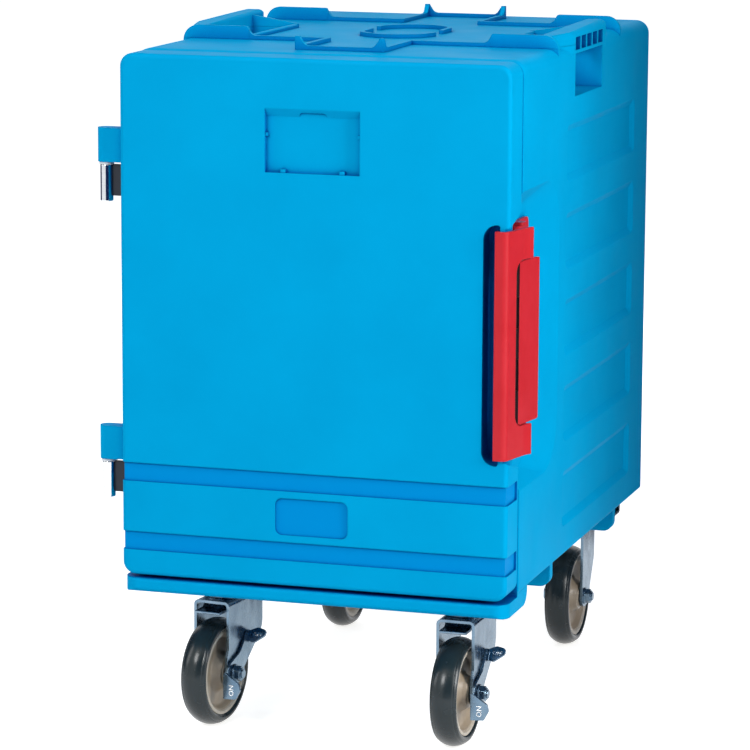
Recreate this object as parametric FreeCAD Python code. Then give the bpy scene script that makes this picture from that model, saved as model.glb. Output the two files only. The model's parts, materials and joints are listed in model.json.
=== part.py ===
import FreeCAD, Part

import math
import os

# A front-loading insulated food-pan carrier: a rotomoulded cabinet and door on four casters.
# Millimetres. While it is built, X = 0 is the middle, Y = 0 the door's front face and Z = 0 the floor;
# +X is to the right of someone who faces the door, +Y points to the back.

Vector = FreeCAD.Vector

# ---------------------------------------------------------------- driving dimensions
# casters, from the floor up
WHEEL_DIAMETER = 127.0
TYRE_WIDTH = 32.0
TYRE_CROWN = 7.0
RIM_RADIUS = 50.4
RIM_WIDTH = 28.0
HUB_RADIUS = 16.0
HUB_LENGTH = 36.0
SLEEVE_RADIUS = 8.0
AXLE_RADIUS = 5.0
RUNNING_FIT = 0.06
TREAD_GAP = 19.0
FORK_SHEET = 3.5
FORK_INSIDE = 39.0
RACE_HEIGHT = 12.5
RACE_LAP = 3.0
RACE_RADIUS = 29.0
RACE_GAP = 0.4
KINGPIN_RADIUS = 6.0
CASTER_PLATE = 3.0
CASTER_PLATE_X = 95.0
CASTER_PLATE_Y = 67.0
BOLT_SPACING_X = 73.0
BOLT_SPACING_Y = 45.0
BOLT_RADIUS = 4.0
BOLT_ACROSS = 13.0
AXLE_ACROSS = 16.0
CHANNEL_HEIGHT = 28.0
CHANNEL_WIDTH = 66.0
CHANNEL_END = 58.5
CHANNEL_SHEET = 3.0
BASE_SHEET = 3.0
BASE_INSET = 8.0
BASE_SCREW_FRONT = 90.0
BASE_SCREW_BACK = 24.0
FRONT_KINGPIN_X = 146.5
FRONT_KINGPIN_Y = 130.0
FRONT_TRAIL = 33.6
FRONT_LEFT_TURN = -7.4
FRONT_RIGHT_TURN = -1.0
REAR_WHEEL_X = 150.0
REAR_AXLE_Y = 597.0
REAR_PLATE_BACKSET = 19.0
FORK_EYE = 14.0
FORK_FRONT_REACH = 42.0
FORK_BACK_REACH = 46.0
REAR_FORK_HALF = 30.0

# cabinet
BODY_WIDTH = 460.0
BODY_DEPTH = 623.0
BODY_HEIGHT = 602.0
REAR_CORNER_RADIUS = 18.0
ROOF_EDGE_RADIUS = 16.0
FLOOR_EDGE_RADIUS = 4.0
SKIN = 5.0
CAVITY_WIDTH = 336.0
CAVITY_DEPTH = 563.0
CAVITY_HEIGHT = 512.0
CAVITY_FLOOR = 44.0
CAVITY_CORNER = 30.0
RAIL_COUNT = 12
RAIL_PITCH = 38.0
RAIL_HEIGHT = 12.0
RAIL_REACH = 14.0
RAIL_FIRST = 40.0
RAIL_SETBACK = 18.0
TOE_FRONT = 2.0
TOE_BACK = 93.0
TOE_DROP = 20.0
TOE_CORNER = 17.0
TOE_ROOT = 8.0
TOE_UPRIGHT_RADIUS = 16.0
SKID_DROP = 29.0
SKID_WIDTH = 13.0
SKID_LENGTH = 450.0
SKID_CORNER = 12.0
PANEL_COUNT = 5
PANEL_LENGTH = 339.0
PANEL_HEIGHT = 66.0
PANEL_PITCH = 102.3
PANEL_FRONT = 196.5
PANEL_FIRST = 35.2
PANEL_DEPTH = 5.0
PANEL_BEVEL = 8.0
PANEL_CORNER = 9.0
SCOOP_LENGTH = 166.0
SCOOP_FLOOR = 70.0
SCOOP_DEPTH = 14.0
SCOOP_END_SLOPE = 19.0
SCOOP_CORNER = 62.0
SCOOP_FLOOR_CORNER = 30.0

# roof: ridges and fins that the skids of a carrier stacked on top drop between
RIDGE_WIDTH = 5.5
RIDGE_HEIGHT = 4.8
FIN_HEIGHT = 15.5
FIN_INNER_X = 149.0
FIN_OUTER_X = 228.0
RIDGE_FRONT_Y = 161.0
RIDGE_BACK_Y = 461.0
POST_X = 50.0
POST_FRONT_Y = 51.0
POST_BACK_Y = 571.0
RING_WIDTH = 92.0
RING_LENGTH = 156.0
RING_Y = 311.0
RING_GAP = 30.0
RING_SHIFT = 14.0

# hand holds at the roof edges
GRIP_WIDTH = 25.0
GRIP_FRONT = 165.0
GRIP_BACK = 385.0
GRIP_HEIGHT = 19.0
GRIP_FRONT_HEIGHT = 14.5
GRIP_TAPER = 12.0
GRIP_TAPER_LENGTH = 55.0
GRIP_OUTER_RADIUS = 10.0
HAND_FRONT = 230.0
HAND_LENGTH = 131.0
HAND_HEIGHT = 49.5
HAND_BELOW_ROOF = 60.5
HAND_INNER_X = 152.0
HAND_OPENING_FRONT = 177.0
HAND_OPENING_BACK = 339.0
HAND_SWEEP = 48.0
WINDOW_COUNT = 5
WINDOW_HEIGHT = 15.0
WINDOW_WEB = 5.5
WINDOW_DEPTH = 12.0
WINDOW_LIFT = 4.0
RIM_THICKNESS = 5.5

# door
DOOR_THICKNESS = 48.0
DOOR_GAP = 1.0
DOOR_SIDE_INSET = 1.0
DOOR_TOP_INSET = 1.0
DOOR_LIFT = 0.5
DOOR_CORNER = 15.0
DOOR_EDGE = 5.0
TOE_GAP = 4.0
PLUG_CLEARANCE = 10.0
PLUG_DEPTH = 12.0
GASKET_WIDTH = 12.0
GASKET_DEPTH = 3.0
GASKET_MARGIN = 6.0
GASKET_GAP = 0.3
BAND_HEIGHT = 21.5
BAND_DEPTH = 2.5
BAND_LOWER = 29.5
BAND_UPPER = 110.0
LOGO_WIDTH = 86.0
LOGO_HEIGHT = 42.5
LOGO_LOW = 59.3
LOGO_DEPTH = 2.0
LABEL_WIDTH = 111.0
LABEL_HEIGHT = 71.7
LABEL_BELOW_TOP = 56.3
LABEL_DEPTH = 6.0
LABEL_SLOPE = 9.0
LABEL_NOTCH = 32.0
LABEL_NOTCH_HEIGHT = 5.0
NIB_WIDTH = 6.0
NIB_HEIGHT = 4.0
NIB_SIDE_X = 52.5
NIB_LOW_X = 34.5

# latch
LATCH_HEIGHT = 290.4
HOOK_LENGTH = 256.2
HOOK_WALL = 4.0
HOOK_SEAT = 0.5
HOOK_SIDE_GAP = 1.0
HOOK_LIP_GAP = 1.2
HOOK_LIP = 5.0
HOOK_EYE = 6.0
CUTOUT_END = 34.6
CUTOUT_CORNER = 15.0
CUTOUT_FRONT = 18.0
LEVER_SIDE_GAP = 1.5
LEVER_WALL = 3.5
LEVER_PIN_X = 227.0
LEVER_PIN_Y = 27.0
HOOK_PIN_X = 230.0
HOOK_PIN_Y = 45.0
LATCH_PIN_RADIUS = 2.5
KNUCKLE_RADIUS = 5.5
KNUCKLE_GAP = 0.8
KNUCKLE_COUNT = 5
LEVER_TIP_X = 243.0
LEVER_TIP_Y = 78.0
POST_INNER_X = 217.6
POST_OUTER_X = 223.0
POST_DEPTH = 18.6
POCKET_END_GAP = 6.9
POCKET_WIDTH = 19.1
POCKET_DEPTH = 26.0
RECESS_END_GAP = 16.9
RECESS_FLOOR_X = 214.0
LATCH_BASE_SHEET = 4.0
RECESS_ARCH = 14.0
SCOOP_END_GAP = 40.9
SCOOP_DROP = 2.4
LATCH_BASE_BACK = 112.0
LATCH_BASE_FRONT = 52.0

# hinges
HINGE_X = -253.0
HINGE_Y = 22.0
BARREL_RADIUS = 7.5
BARREL_LENGTH = 42.0
UPPER_BARREL_LOW = 430.0
LOWER_BARREL_LOW = 86.0
HINGE_PIN_RADIUS = 4.0
WASHER_RADIUS = 8.4
WASHER_THICKNESS = 3.0
LUG_RADIUS = 9.8
LUG_LENGTH = 39.0
HINGE_SHEET = 4.0
HINGE_PLATE_HEIGHT = 36.0
HINGE_PLATE_BACK = 110.0
SEAT_GAP = 0.3

# brake pedal on each front caster
PEDAL_SHEET = 3.0
PEDAL_GAP = 0.5
PEDAL_HUB = 15.0
TAB_REACH = 19.0
FRONT_TAB_Y = 22.0
FRONT_TAB_LOW = 26.0
REAR_TAB_Y = 40.0
REAR_TAB_TILT = -28.0
SHOE_SHEET = 3.0
SHOE_GAP = 9.0
SHOE_FRONT = -20.0
SHOE_BACK = 22.0

# screws and bolts
SCREW_RADIUS = 2.5
SCREW_HEAD_RADIUS = 5.0
SCREW_HEAD_HEIGHT = 2.8
SCREW_LENGTH = 9.0
BOLT_HEAD_HEIGHT = 5.3
NUT_HEIGHT = 8.0

# ---------------------------------------------------------------- levels that follow from them
AXLE_Z = WHEEL_DIAMETER / 2
CROWN_Z = WHEEL_DIAMETER + TREAD_GAP + FORK_SHEET
CASTER_TOP_Z = CROWN_Z + RACE_HEIGHT
CHANNEL_Z = CASTER_TOP_Z + CASTER_PLATE
BASE_Z = CHANNEL_Z + CHANNEL_HEIGHT
BODY_Z = BASE_Z + BASE_SHEET
ROOF_Z = BODY_Z + BODY_HEIGHT
CABINET_Y = DOOR_THICKNESS + DOOR_GAP
BACK_Y = CABINET_Y + BODY_DEPTH
HALF_WIDTH = BODY_WIDTH / 2
CAVITY_HALF = CAVITY_WIDTH / 2
CAVITY_Z = BODY_Z + CAVITY_FLOOR
CAVITY_TOP_Z = CAVITY_Z + CAVITY_HEIGHT
CAVITY_BACK_Y = CABINET_Y + CAVITY_DEPTH
DOOR_HALF = HALF_WIDTH - DOOR_SIDE_INSET
DOOR_Z = BODY_Z + DOOR_LIFT
DOOR_TOP_Z = ROOF_Z - DOOR_TOP_INSET
LATCH_Z = BODY_Z + LATCH_HEIGHT
GRIP_X = HALF_WIDTH - GRIP_WIDTH
HAND_Z = ROOF_Z - HAND_BELOW_ROOF
LEG_X = FORK_INSIDE / 2
CHANNEL_HALF = FRONT_KINGPIN_X + CHANNEL_END
CUTOUT_HALF = HOOK_LENGTH / 2 - CUTOUT_END
POCKET_HALF = HOOK_LENGTH / 2 + POCKET_END_GAP
RECESS_HALF = HOOK_LENGTH / 2 + RECESS_END_GAP
SCOOP_HALF = HOOK_LENGTH / 2 + SCOOP_END_GAP
SCOOP_Z = LATCH_Z - SCOOP_DROP
RIM_X = HAND_INNER_X - RIM_THICKNESS
SWIVELS = {
    "left": (-FRONT_KINGPIN_X, FRONT_LEFT_TURN),
    "right": (FRONT_KINGPIN_X, FRONT_RIGHT_TURN),
}
OVERSHOOT = 1.0


# ---------------------------------------------------------------- small makers of shapes
def place(plane, u, v, w):
    """A point given in a drawing plane, at the distance w along that plane's normal."""
    if plane == "XY":
        return Vector(u, v, w)
    if plane == "XZ":
        return Vector(u, w, v)
    return Vector(w, u, v)


def rounded_wire(corners, plane, level):
    """A closed outline through (u, v, radius) corners, each rounded by its own radius."""
    arcs = []
    for index, (u, v, radius) in enumerate(corners):
        here = Vector(u, v, 0)
        before = Vector(*corners[index - 1][:2], 0)
        after = Vector(*corners[(index + 1) % len(corners)][:2], 0)
        back = (before - here).normalize()
        ahead = (after - here).normalize()
        if radius == 0:
            arcs.append((here, here, here))
            continue
        half = back.getAngle(ahead) / 2
        reach = radius / math.tan(half)
        bisector = (back + ahead).normalize()
        middle = here + bisector * (radius / math.sin(half) - radius)
        arcs.append((here + back * reach, middle, here + ahead * reach))
    edges = []
    for index, (start, middle, end) in enumerate(arcs):
        points = [place(plane, p.x, p.y, level) for p in (start, middle, end)]
        if (end - start).Length > 1e-6:
            edges.append(Part.Arc(*points).toShape())
        following = arcs[(index + 1) % len(arcs)][0]
        if (following - end).Length > 1e-6:
            target = place(plane, following.x, following.y, level)
            edges.append(Part.LineSegment(points[2], target).toShape())
    return Part.Wire(edges)


def prism(corners, plane, low, high):
    """The outline through the corners, extruded from one level to another."""
    face = Part.Face(rounded_wire(corners, plane, low))
    return face.extrude(place(plane, 0, 0, high - low))


def box(x0, x1, y0, y1, z0, z1):
    return Part.makeBox(x1 - x0, y1 - y0, z1 - z0, Vector(x0, y0, z0))


def rod(radius, start, end):
    """A round bar between two points."""
    return Part.makeCylinder(radius, (end - start).Length, start, end - start)


def hexagon(across, start, end):
    """A six-sided bar between two points, of the given width across its flats."""
    corner = across / math.sqrt(3)
    points = [Vector(corner * math.cos(a), corner * math.sin(a), 0)
              for a in (math.radians(60 * i) for i in range(7))]
    bar = Part.Face(Part.makePolygon(points)).extrude(Vector(0, 0, (end - start).Length))
    bar.Placement = FreeCAD.Placement(start, FreeCAD.Rotation(Vector(0, 0, 1), end - start))
    return bar


def rectangle(u0, u1, v0, v1, radius=0.0):
    """Corners of an upright rectangle whose corners share one radius."""
    return [(u0, v0, radius), (u1, v0, radius), (u1, v1, radius), (u0, v1, radius)]


def fused(shapes):
    """One solid out of several that meet, with its leftover seams removed."""
    shapes = list(shapes)
    return shapes[0].multiFuse(shapes[1:]).removeSplitter()


def mirrored(shape):
    """The same shape on the other side of the middle plane."""
    return shape.mirror(Vector(0, 0, 0), Vector(1, 0, 0))


def both_sides(shape):
    return [shape, mirrored(shape)]


def softened(shape, radius, wanted):
    """Round every edge that the test picks."""
    return shape.makeFillet(radius, [edge for edge in shape.Edges if wanted(edge.BoundBox)])


# ---------------------------------------------------------------- cabinet
def cabinet_block():
    """The outer form: rear uprights and roof edges well rounded, front edge crisp against the door."""
    corners = [(-HALF_WIDTH, CABINET_Y, 2), (HALF_WIDTH, CABINET_Y, 2),
               (HALF_WIDTH, BACK_Y, REAR_CORNER_RADIUS), (-HALF_WIDTH, BACK_Y, REAR_CORNER_RADIUS)]
    block = prism(corners, "XY", BODY_Z, ROOF_Z)

    def roof_edge(bounds):
        return bounds.ZMin > ROOF_Z - OVERSHOOT and bounds.YMax > CABINET_Y + 3

    def floor_edge(bounds):
        return bounds.ZMax < BODY_Z + OVERSHOOT and bounds.YMax > CABINET_Y + 3

    block = softened(block, ROOF_EDGE_RADIUS, roof_edge)
    return softened(block, FLOOR_EDGE_RADIUS, floor_edge)


def toe():
    """The lip that runs forward under the door and hides the front casters' plates."""
    low = BODY_Z - TOE_DROP
    top = DOOR_Z - TOE_GAP
    root = BODY_Z + TOE_ROOT
    corners = [(TOE_FRONT, low, 5), (TOE_BACK, low, TOE_CORNER), (TOE_BACK, root, 0),
               (CABINET_Y, root, 0), (CABINET_Y, top, 0), (TOE_FRONT, top, 4)]
    lip = prism(corners, "YZ", -DOOR_HALF, DOOR_HALF)
    outline = rectangle(-DOOR_HALF, DOOR_HALF, TOE_FRONT, 2 * TOE_BACK, TOE_UPRIGHT_RADIUS)
    return lip.common(prism(outline, "XY", low, ROOF_Z))


def skid(y):
    """A cross rib under the floor that drops between the roof ridges of a carrier below."""
    half = SKID_LENGTH / 2
    low = BODY_Z - SKID_DROP
    root = BODY_Z + TOE_ROOT
    corners = [(-half, low, SKID_CORNER), (half, low, SKID_CORNER), (half, root, 0), (-half, root, 0)]
    return prism(corners, "XZ", y - SKID_WIDTH / 2, y + SKID_WIDTH / 2)


def skid_places():
    return [CABINET_Y + RIDGE_FRONT_Y + SKID_WIDTH / 2 + 1, CABINET_Y + RIDGE_BACK_Y + SKID_WIDTH + 8]


def cross_ridge(y):
    """A low ridge from the roof's middle that rises into a tall fin at its outer end."""
    root = ROOF_Z - 8
    low = ROOF_Z + RIDGE_HEIGHT
    high = ROOF_Z + FIN_HEIGHT
    corners = [(POST_X, root, 0), (POST_X, low, 0), (FIN_INNER_X - 6, low, 9), (FIN_INNER_X, high, 3),
               (FIN_OUTER_X, high, 18), (FIN_OUTER_X, ROOF_Z - 20, 0), (GRIP_X, ROOF_Z - 20, 0),
               (HAND_INNER_X - 10, root, 0)]
    return prism(corners, "XZ", y - RIDGE_WIDTH / 2, y + RIDGE_WIDTH / 2)


def long_ridge(y_ridge, y_post):
    """A low ridge along the roof that swoops up to a peaked post at its far end."""
    way = math.copysign(1.0, y_post - y_ridge)
    half = RIDGE_WIDTH / 2
    low = ROOF_Z + RIDGE_HEIGHT
    high = ROOF_Z + FIN_HEIGHT
    far = y_post + way * half
    corners = [(y_ridge - way * half, ROOF_Z - 2, 0), (y_ridge - way * half, low, 0),
               (y_post - way * 9, low, 9), (y_post - way * 2, high, 1), (far, high, 1), (far, ROOF_Z - 2, 0)]
    return prism(corners, "YZ", POST_X - half, POST_X + half)


def post_ridge(y):
    """The ridge between two peaked posts."""
    half = RIDGE_WIDTH / 2
    low = ROOF_Z + RIDGE_HEIGHT
    high = ROOF_Z + FIN_HEIGHT
    outer = POST_X + half
    right = [(POST_X - 9, low, 9), (POST_X - 2, high, 1), (outer, high, 1), (outer, ROOF_Z - 2, 0)]
    left = [(-u, v, r) for u, v, r in reversed(right)]
    return prism(left + right, "XZ", y - half, y + half)


def roof_ring():
    """The stadium-shaped ring in the middle of the roof, open at two staggered gaps."""
    middle = CABINET_Y + RING_Y
    half_x = RING_WIDTH / 2
    half_y = RING_LENGTH / 2
    inner_x = half_x - RIDGE_WIDTH
    inner_y = half_y - RIDGE_WIDTH
    root = ROOF_Z - 2
    top = ROOF_Z + RIDGE_HEIGHT
    outer = prism(rectangle(-half_x, half_x, middle - half_y, middle + half_y, half_x), "XY", root, top)
    inner = prism(rectangle(-inner_x, inner_x, middle - inner_y, middle + inner_y, inner_x), "XY", root, top)
    ring = outer.cut(inner)
    for side in (-1, 1):
        gap_y = middle - side * RING_SHIFT
        across = sorted((side * (inner_x - 10), side * (half_x + 10)))
        ring = ring.cut(box(*across, gap_y - RING_GAP / 2, gap_y + RING_GAP / 2, root, top))
    return ring


def grip():
    """The raised bar over the right-hand hand hold."""
    front = CABINET_Y + GRIP_FRONT
    back = CABINET_Y + GRIP_BACK
    root = ROOF_Z - 20
    top = ROOF_Z + GRIP_HEIGHT
    side = [(front, root, 0), (front, ROOF_Z + GRIP_FRONT_HEIGHT, 4), (back, top, 13), (back, root, 0)]
    run = prism(side, "YZ", GRIP_X, HALF_WIDTH)
    section = [(GRIP_X, root, 0), (HALF_WIDTH, root, 0), (HALF_WIDTH, top, GRIP_OUTER_RADIUS),
               (GRIP_X, top, 6)]
    plan = [(GRIP_X, front, 0), (HALF_WIDTH - GRIP_TAPER, front, 5),
            (HALF_WIDTH, front + GRIP_TAPER_LENGTH, 30), (HALF_WIDTH, back, GRIP_OUTER_RADIUS),
            (GRIP_X, back, 4)]
    return run.common(prism(section, "XZ", front, back)).common(prism(plan, "XY", root, top))


def hand_pocket():
    """The tool that opens the hand hold: in from the side, swept up and out through the roof."""
    high = ROOF_Z + 2 * GRIP_HEIGHT
    ceiling = HAND_Z + HAND_HEIGHT
    mouth = [(HALF_WIDTH + OVERSHOOT, HAND_Z, 0), (HALF_WIDTH + OVERSHOOT, ceiling, 0)]
    inner = [(GRIP_X, high, 0), (HAND_INNER_X, high, 0), (HAND_INNER_X, HAND_Z, HAND_SWEEP)]
    front = CABINET_Y + HAND_FRONT
    roof_front = CABINET_Y + HAND_OPENING_FRONT
    roof_back = CABINET_Y + HAND_OPENING_BACK
    through = prism(inner + mouth + [(GRIP_X, ceiling, 3)], "XZ", front, roof_back)
    roof_part = prism(inner + [(GRIP_X, HAND_Z, 0)], "XZ", roof_front, front + OVERSHOOT)
    closed = [(HAND_INNER_X, HAND_Z, HAND_SWEEP / 2)] + mouth + [(HAND_INNER_X, ceiling, HAND_SWEEP / 3)]
    covered = prism(closed, "XZ", roof_back - OVERSHOOT, front + HAND_LENGTH)
    return through.fuse(roof_part).fuse(covered)


def hand_rim():
    """The low rim along the inner edge of a hand hold's roof opening, and the sloped web behind it."""
    front = CABINET_Y + RIDGE_FRONT_Y
    back = CABINET_Y + HAND_OPENING_BACK
    root = ROOF_Z - 4
    low = ROOF_Z + RIDGE_HEIGHT
    rim = prism([(RIM_X, root, 0), (HAND_INNER_X, root, 0), (HAND_INNER_X, low, 2), (RIM_X, low, 2)],
                "XZ", front, back + RIM_THICKNESS)
    web = prism([(RIM_X, root, 0), (GRIP_X + 3, root, 0), (GRIP_X + 3, ROOF_Z + GRIP_FRONT_HEIGHT, 0),
                 (RIM_X, low, 0)], "XZ", back, back + RIM_THICKNESS)
    return [rim, web]


def windows():
    """The row of blind slots in the grip's outer face."""
    front = CABINET_Y + HAND_FRONT
    width = (HAND_LENGTH - (WINDOW_COUNT - 1) * WINDOW_WEB) / WINDOW_COUNT
    low = HAND_Z + HAND_HEIGHT + WINDOW_LIFT
    tools = []
    for index in range(WINDOW_COUNT):
        start = front + index * (width + WINDOW_WEB)
        tools.append(box(HALF_WIDTH - WINDOW_DEPTH, HALF_WIDTH + OVERSHOOT, start, start + width,
                         low, low + WINDOW_HEIGHT))
    return tools


def side_panels():
    """The bevelled sunk panels in a side wall."""
    front = CABINET_Y + PANEL_FRONT
    tools = []
    for index in range(PANEL_COUNT):
        low = BODY_Z + PANEL_FIRST + index * PANEL_PITCH
        rims = []
        for share in (-OVERSHOOT / PANEL_DEPTH, 1.0):
            inset = share * PANEL_BEVEL
            outline = rectangle(front + inset, front + PANEL_LENGTH - inset,
                                low + inset, low + PANEL_HEIGHT - inset, PANEL_CORNER - 0.5 * inset)
            rims.append(rounded_wire(outline, "YZ", HALF_WIDTH - share * PANEL_DEPTH))
        tools.append(Part.makeLoft(rims, True, True))
    return tools


def finger_scoop():
    """The shallow dish behind the latch, so that fingers can reach round the lever."""
    slope = (SCOOP_LENGTH - SCOOP_FLOOR) / SCOOP_DEPTH
    end_slope = SCOOP_END_SLOPE / SCOOP_DEPTH
    rims = []
    for sink, radius in ((-OVERSHOOT, SCOOP_CORNER), (SCOOP_DEPTH, SCOOP_FLOOR_CORNER)):
        front = CABINET_Y - OVERSHOOT
        back = CABINET_Y + SCOOP_LENGTH - slope * sink
        half = SCOOP_HALF - end_slope * sink
        outline = [(front, SCOOP_Z - half, 0), (back, SCOOP_Z - half, radius), (back, SCOOP_Z + half, radius),
                   (front, SCOOP_Z + half, 0)]
        rims.append(rounded_wire(outline, "YZ", HALF_WIDTH - sink))
    return Part.makeLoft(rims, True, True)


def cavity():
    """The pan space, with moulded rails down both walls."""
    half = CAVITY_HALF
    hollow = prism(rectangle(-half, half, CAVITY_Z, CAVITY_TOP_Z, CAVITY_CORNER), "XZ",
                   CABINET_Y - OVERSHOOT, CAVITY_BACK_Y)
    rail_front = CABINET_Y + RAIL_SETBACK
    rails = []
    for index in range(RAIL_COUNT):
        low = CAVITY_Z + RAIL_FIRST + index * RAIL_PITCH
        corners = [(half + 2, low, 0), (half, low, 0), (half - RAIL_REACH, low + 5, 0),
                   (half - RAIL_REACH, low + RAIL_HEIGHT, 0), (half + 2, low + RAIL_HEIGHT, 0)]
        rails += both_sides(prism(corners, "XZ", rail_front, CAVITY_BACK_Y + OVERSHOOT))
    return hollow.cut(Part.makeCompound(rails))


def cabinet_foam():
    """The foam that fills the moulding's double wall, as one sealed inner piece."""
    side = HALF_WIDTH - PANEL_DEPTH - SKIN - 1
    front = CABINET_Y + SKIN + 3
    back = BACK_Y - SKIN
    low = BODY_Z + 2 * SKIN
    shoulder = HAND_Z - 2 * SKIN
    top = ROOF_Z - 2 * SKIN
    ribs = HAND_INNER_X - 2 * SKIN
    foam = box(-side, side, front, back, low, shoulder).fuse(box(-ribs, ribs, front, back, shoulder, top))
    inner = CAVITY_HALF + SKIN
    hollow = box(-inner, inner, CABINET_Y, CAVITY_BACK_Y + SKIN, CAVITY_Z - SKIN, CAVITY_TOP_Z + SKIN)
    scoop = box(HALF_WIDTH - SCOOP_DEPTH - 3 * SKIN, HALF_WIDTH, CABINET_Y, CABINET_Y + SCOOP_LENGTH + SKIN,
                SCOOP_Z - SCOOP_HALF - SKIN, SCOOP_Z + SCOOP_HALF + SKIN)
    return foam.cut(hollow.fuse(scoop)).removeSplitter()


def cabinet_moulding():
    """The whole one-piece moulding, before it is listed by its parts."""
    ridge_ys = (CABINET_Y + RIDGE_FRONT_Y, CABINET_Y + RIDGE_BACK_Y)
    post_ys = (CABINET_Y + POST_FRONT_Y, CABINET_Y + POST_BACK_Y)
    added = [toe(), roof_ring()]
    added += [skid(y) for y in skid_places()]
    added += [post_ridge(y) for y in post_ys]
    for ridge_y, post_y in zip(ridge_ys, post_ys):
        added += both_sides(cross_ridge(ridge_y)) + both_sides(long_ridge(ridge_y, post_y))
    added += both_sides(grip())
    shell = fused([cabinet_block()] + added)
    one_side = [hand_pocket()] + side_panels() + windows()
    tools = [cavity(), finger_scoop()]
    for tool in one_side:
        tools += both_sides(tool)
    tools += hinge_screw_holes() + latch_screw_holes() + base_screw_holes()
    shell = shell.cut(tools)
    rims = []
    for piece in hand_rim():
        rims += both_sides(piece)
    shell = fused([shell] + rims)
    return shell.cut(cabinet_foam())


def moulding_parts():
    """The moulding as its box, its lip and ribs below the floor and its ridges above the roof."""
    whole = cabinet_moulding()
    wide = BODY_WIDTH
    low = BODY_Z - SKID_DROP - OVERSHOOT
    high = ROOF_Z + 2 * GRIP_HEIGHT
    front, back = skid_places()
    middle = CABINET_Y + RING_Y
    ring = RING_LENGTH / 2 + RIDGE_WIDTH
    rooms = {
        "cabinet_shell": (-wide, wide, 0, 2 * BACK_Y, BODY_Z, ROOF_Z),
        "toe_lip": (-wide, wide, 0, TOE_BACK + OVERSHOOT, low, BODY_Z),
        "skids": (-wide, wide, front - SKID_WIDTH, back + SKID_WIDTH, low, BODY_Z),
        "roof_ridges_front": (-RIM_X, RIM_X, 0, middle - ring, ROOF_Z, high),
        "roof_ring": (-RIM_X, RIM_X, middle - ring, middle + ring, ROOF_Z, high),
        "roof_ridges_rear": (-RIM_X, RIM_X, middle + ring, 2 * BACK_Y, ROOF_Z, high),
        "grip_left": (-wide, -RIM_X, 0, 2 * BACK_Y, ROOF_Z, high),
        "grip_right": (RIM_X, wide, 0, 2 * BACK_Y, ROOF_Z, high),
    }
    return {name: whole.common(box(*room)) for name, room in rooms.items()}


# ---------------------------------------------------------------- steel under the cabinet
def base_sheets():
    """The steel sheets under the floor, one in each field between the skids."""
    half = HALF_WIDTH - BASE_INSET
    sheet = box(-half, half, TOE_BACK + 2, BACK_Y - BASE_INSET, BASE_Z, BODY_Z)
    reach = SKID_LENGTH / 2 + 2
    for y in skid_places():
        slot = SKID_WIDTH / 2 + OVERSHOOT
        sheet = sheet.cut(box(-reach, reach, y - slot, y + slot, BASE_Z, BODY_Z))
    for x, y in base_screw_places():
        sheet = sheet.cut(rod(SCREW_RADIUS + 0.2, Vector(x, y, BASE_Z), Vector(x, y, BODY_Z)))
    return sheet


def base_screw_places():
    """Two screws through each of the sheet's three fields."""
    skids = skid_places()
    fields = (TOE_BACK + BASE_SCREW_FRONT, (skids[0] + skids[1]) / 2, skids[1] + BASE_SCREW_BACK)
    return [(side * (HALF_WIDTH - 3 * BASE_INSET), y) for y in fields for side in (-1, 1)]


def base_screw_holes():
    depth = Vector(0, 0, SCREW_LENGTH - BASE_SHEET + 0.5)
    feet = [Vector(x, y, BODY_Z) for x, y in base_screw_places()]
    return [rod(SCREW_RADIUS, foot, foot + depth) for foot in feet]


def screw(foot, way, length=SCREW_LENGTH):
    """A pan-head screw whose head seats at the foot and whose shank runs the given way."""
    head = rod(SCREW_HEAD_RADIUS, foot - way * SCREW_HEAD_HEIGHT, foot)
    head = head.makeFillet(1.2, [edge for edge in head.Edges if (edge.CenterOfMass - foot).Length > 2
                                 and edge.Curve.TypeId == "Part::GeomCircle"])
    return head.fuse(rod(SCREW_RADIUS, foot, foot + way * length))


def base_screws():
    return Part.makeCompound([screw(Vector(x, y, BASE_Z), Vector(0, 0, 1)) for x, y in base_screw_places()])


def caster_channel(y, centres):
    """A cross channel, open at the top, that stands the casters off the base sheet."""
    half = CHANNEL_HALF
    low, high = CHANNEL_Z, BASE_Z
    front, back = y - CHANNEL_WIDTH / 2, y + CHANNEL_WIDTH / 2
    sheet = CHANNEL_SHEET
    outer = prism([(front, low, 5), (back, low, 5), (back, high, 0), (front, high, 0)], "YZ", -half, half)
    inner = prism([(front + sheet, low + sheet, 2), (back - sheet, low + sheet, 2), (back - sheet, high, 0),
                   (front + sheet, high, 0)], "YZ", -half, half)
    channel = outer.cut(inner)
    for x, bolt_y in bolt_places(y, centres):
        hole = rod(BOLT_RADIUS + 0.2, Vector(x, bolt_y, low), Vector(x, bolt_y, low + sheet))
        channel = channel.cut(hole)
    return channel


def bolt_places(y, centres):
    return [(x + sx * BOLT_SPACING_X / 2, y + sy * BOLT_SPACING_Y / 2)
            for x in centres for sx in (-1, 1) for sy in (-1, 1)]


def front_plate_centres():
    return (-FRONT_KINGPIN_X, FRONT_KINGPIN_X)


def rear_plate_y():
    return REAR_AXLE_Y + REAR_PLATE_BACKSET


def caster_bolts():
    """Bolts up through every caster plate and channel, each with its nut inside the channel."""
    places = bolt_places(FRONT_KINGPIN_Y, front_plate_centres())
    places += bolt_places(rear_plate_y(), (-REAR_WHEEL_X, REAR_WHEEL_X))
    bolts = []
    web_top = CHANNEL_Z + CHANNEL_SHEET
    for x, y in places:
        foot = Vector(x, y, CASTER_TOP_Z)
        head = hexagon(BOLT_ACROSS, foot - Vector(0, 0, BOLT_HEAD_HEIGHT), foot)
        shank = rod(BOLT_RADIUS, foot, Vector(x, y, web_top + 9))
        nut = hexagon(BOLT_ACROSS, Vector(x, y, web_top), Vector(x, y, web_top + 6.5))
        bolts.append(fused([head, shank, nut]))
    return Part.makeCompound(bolts)


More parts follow.
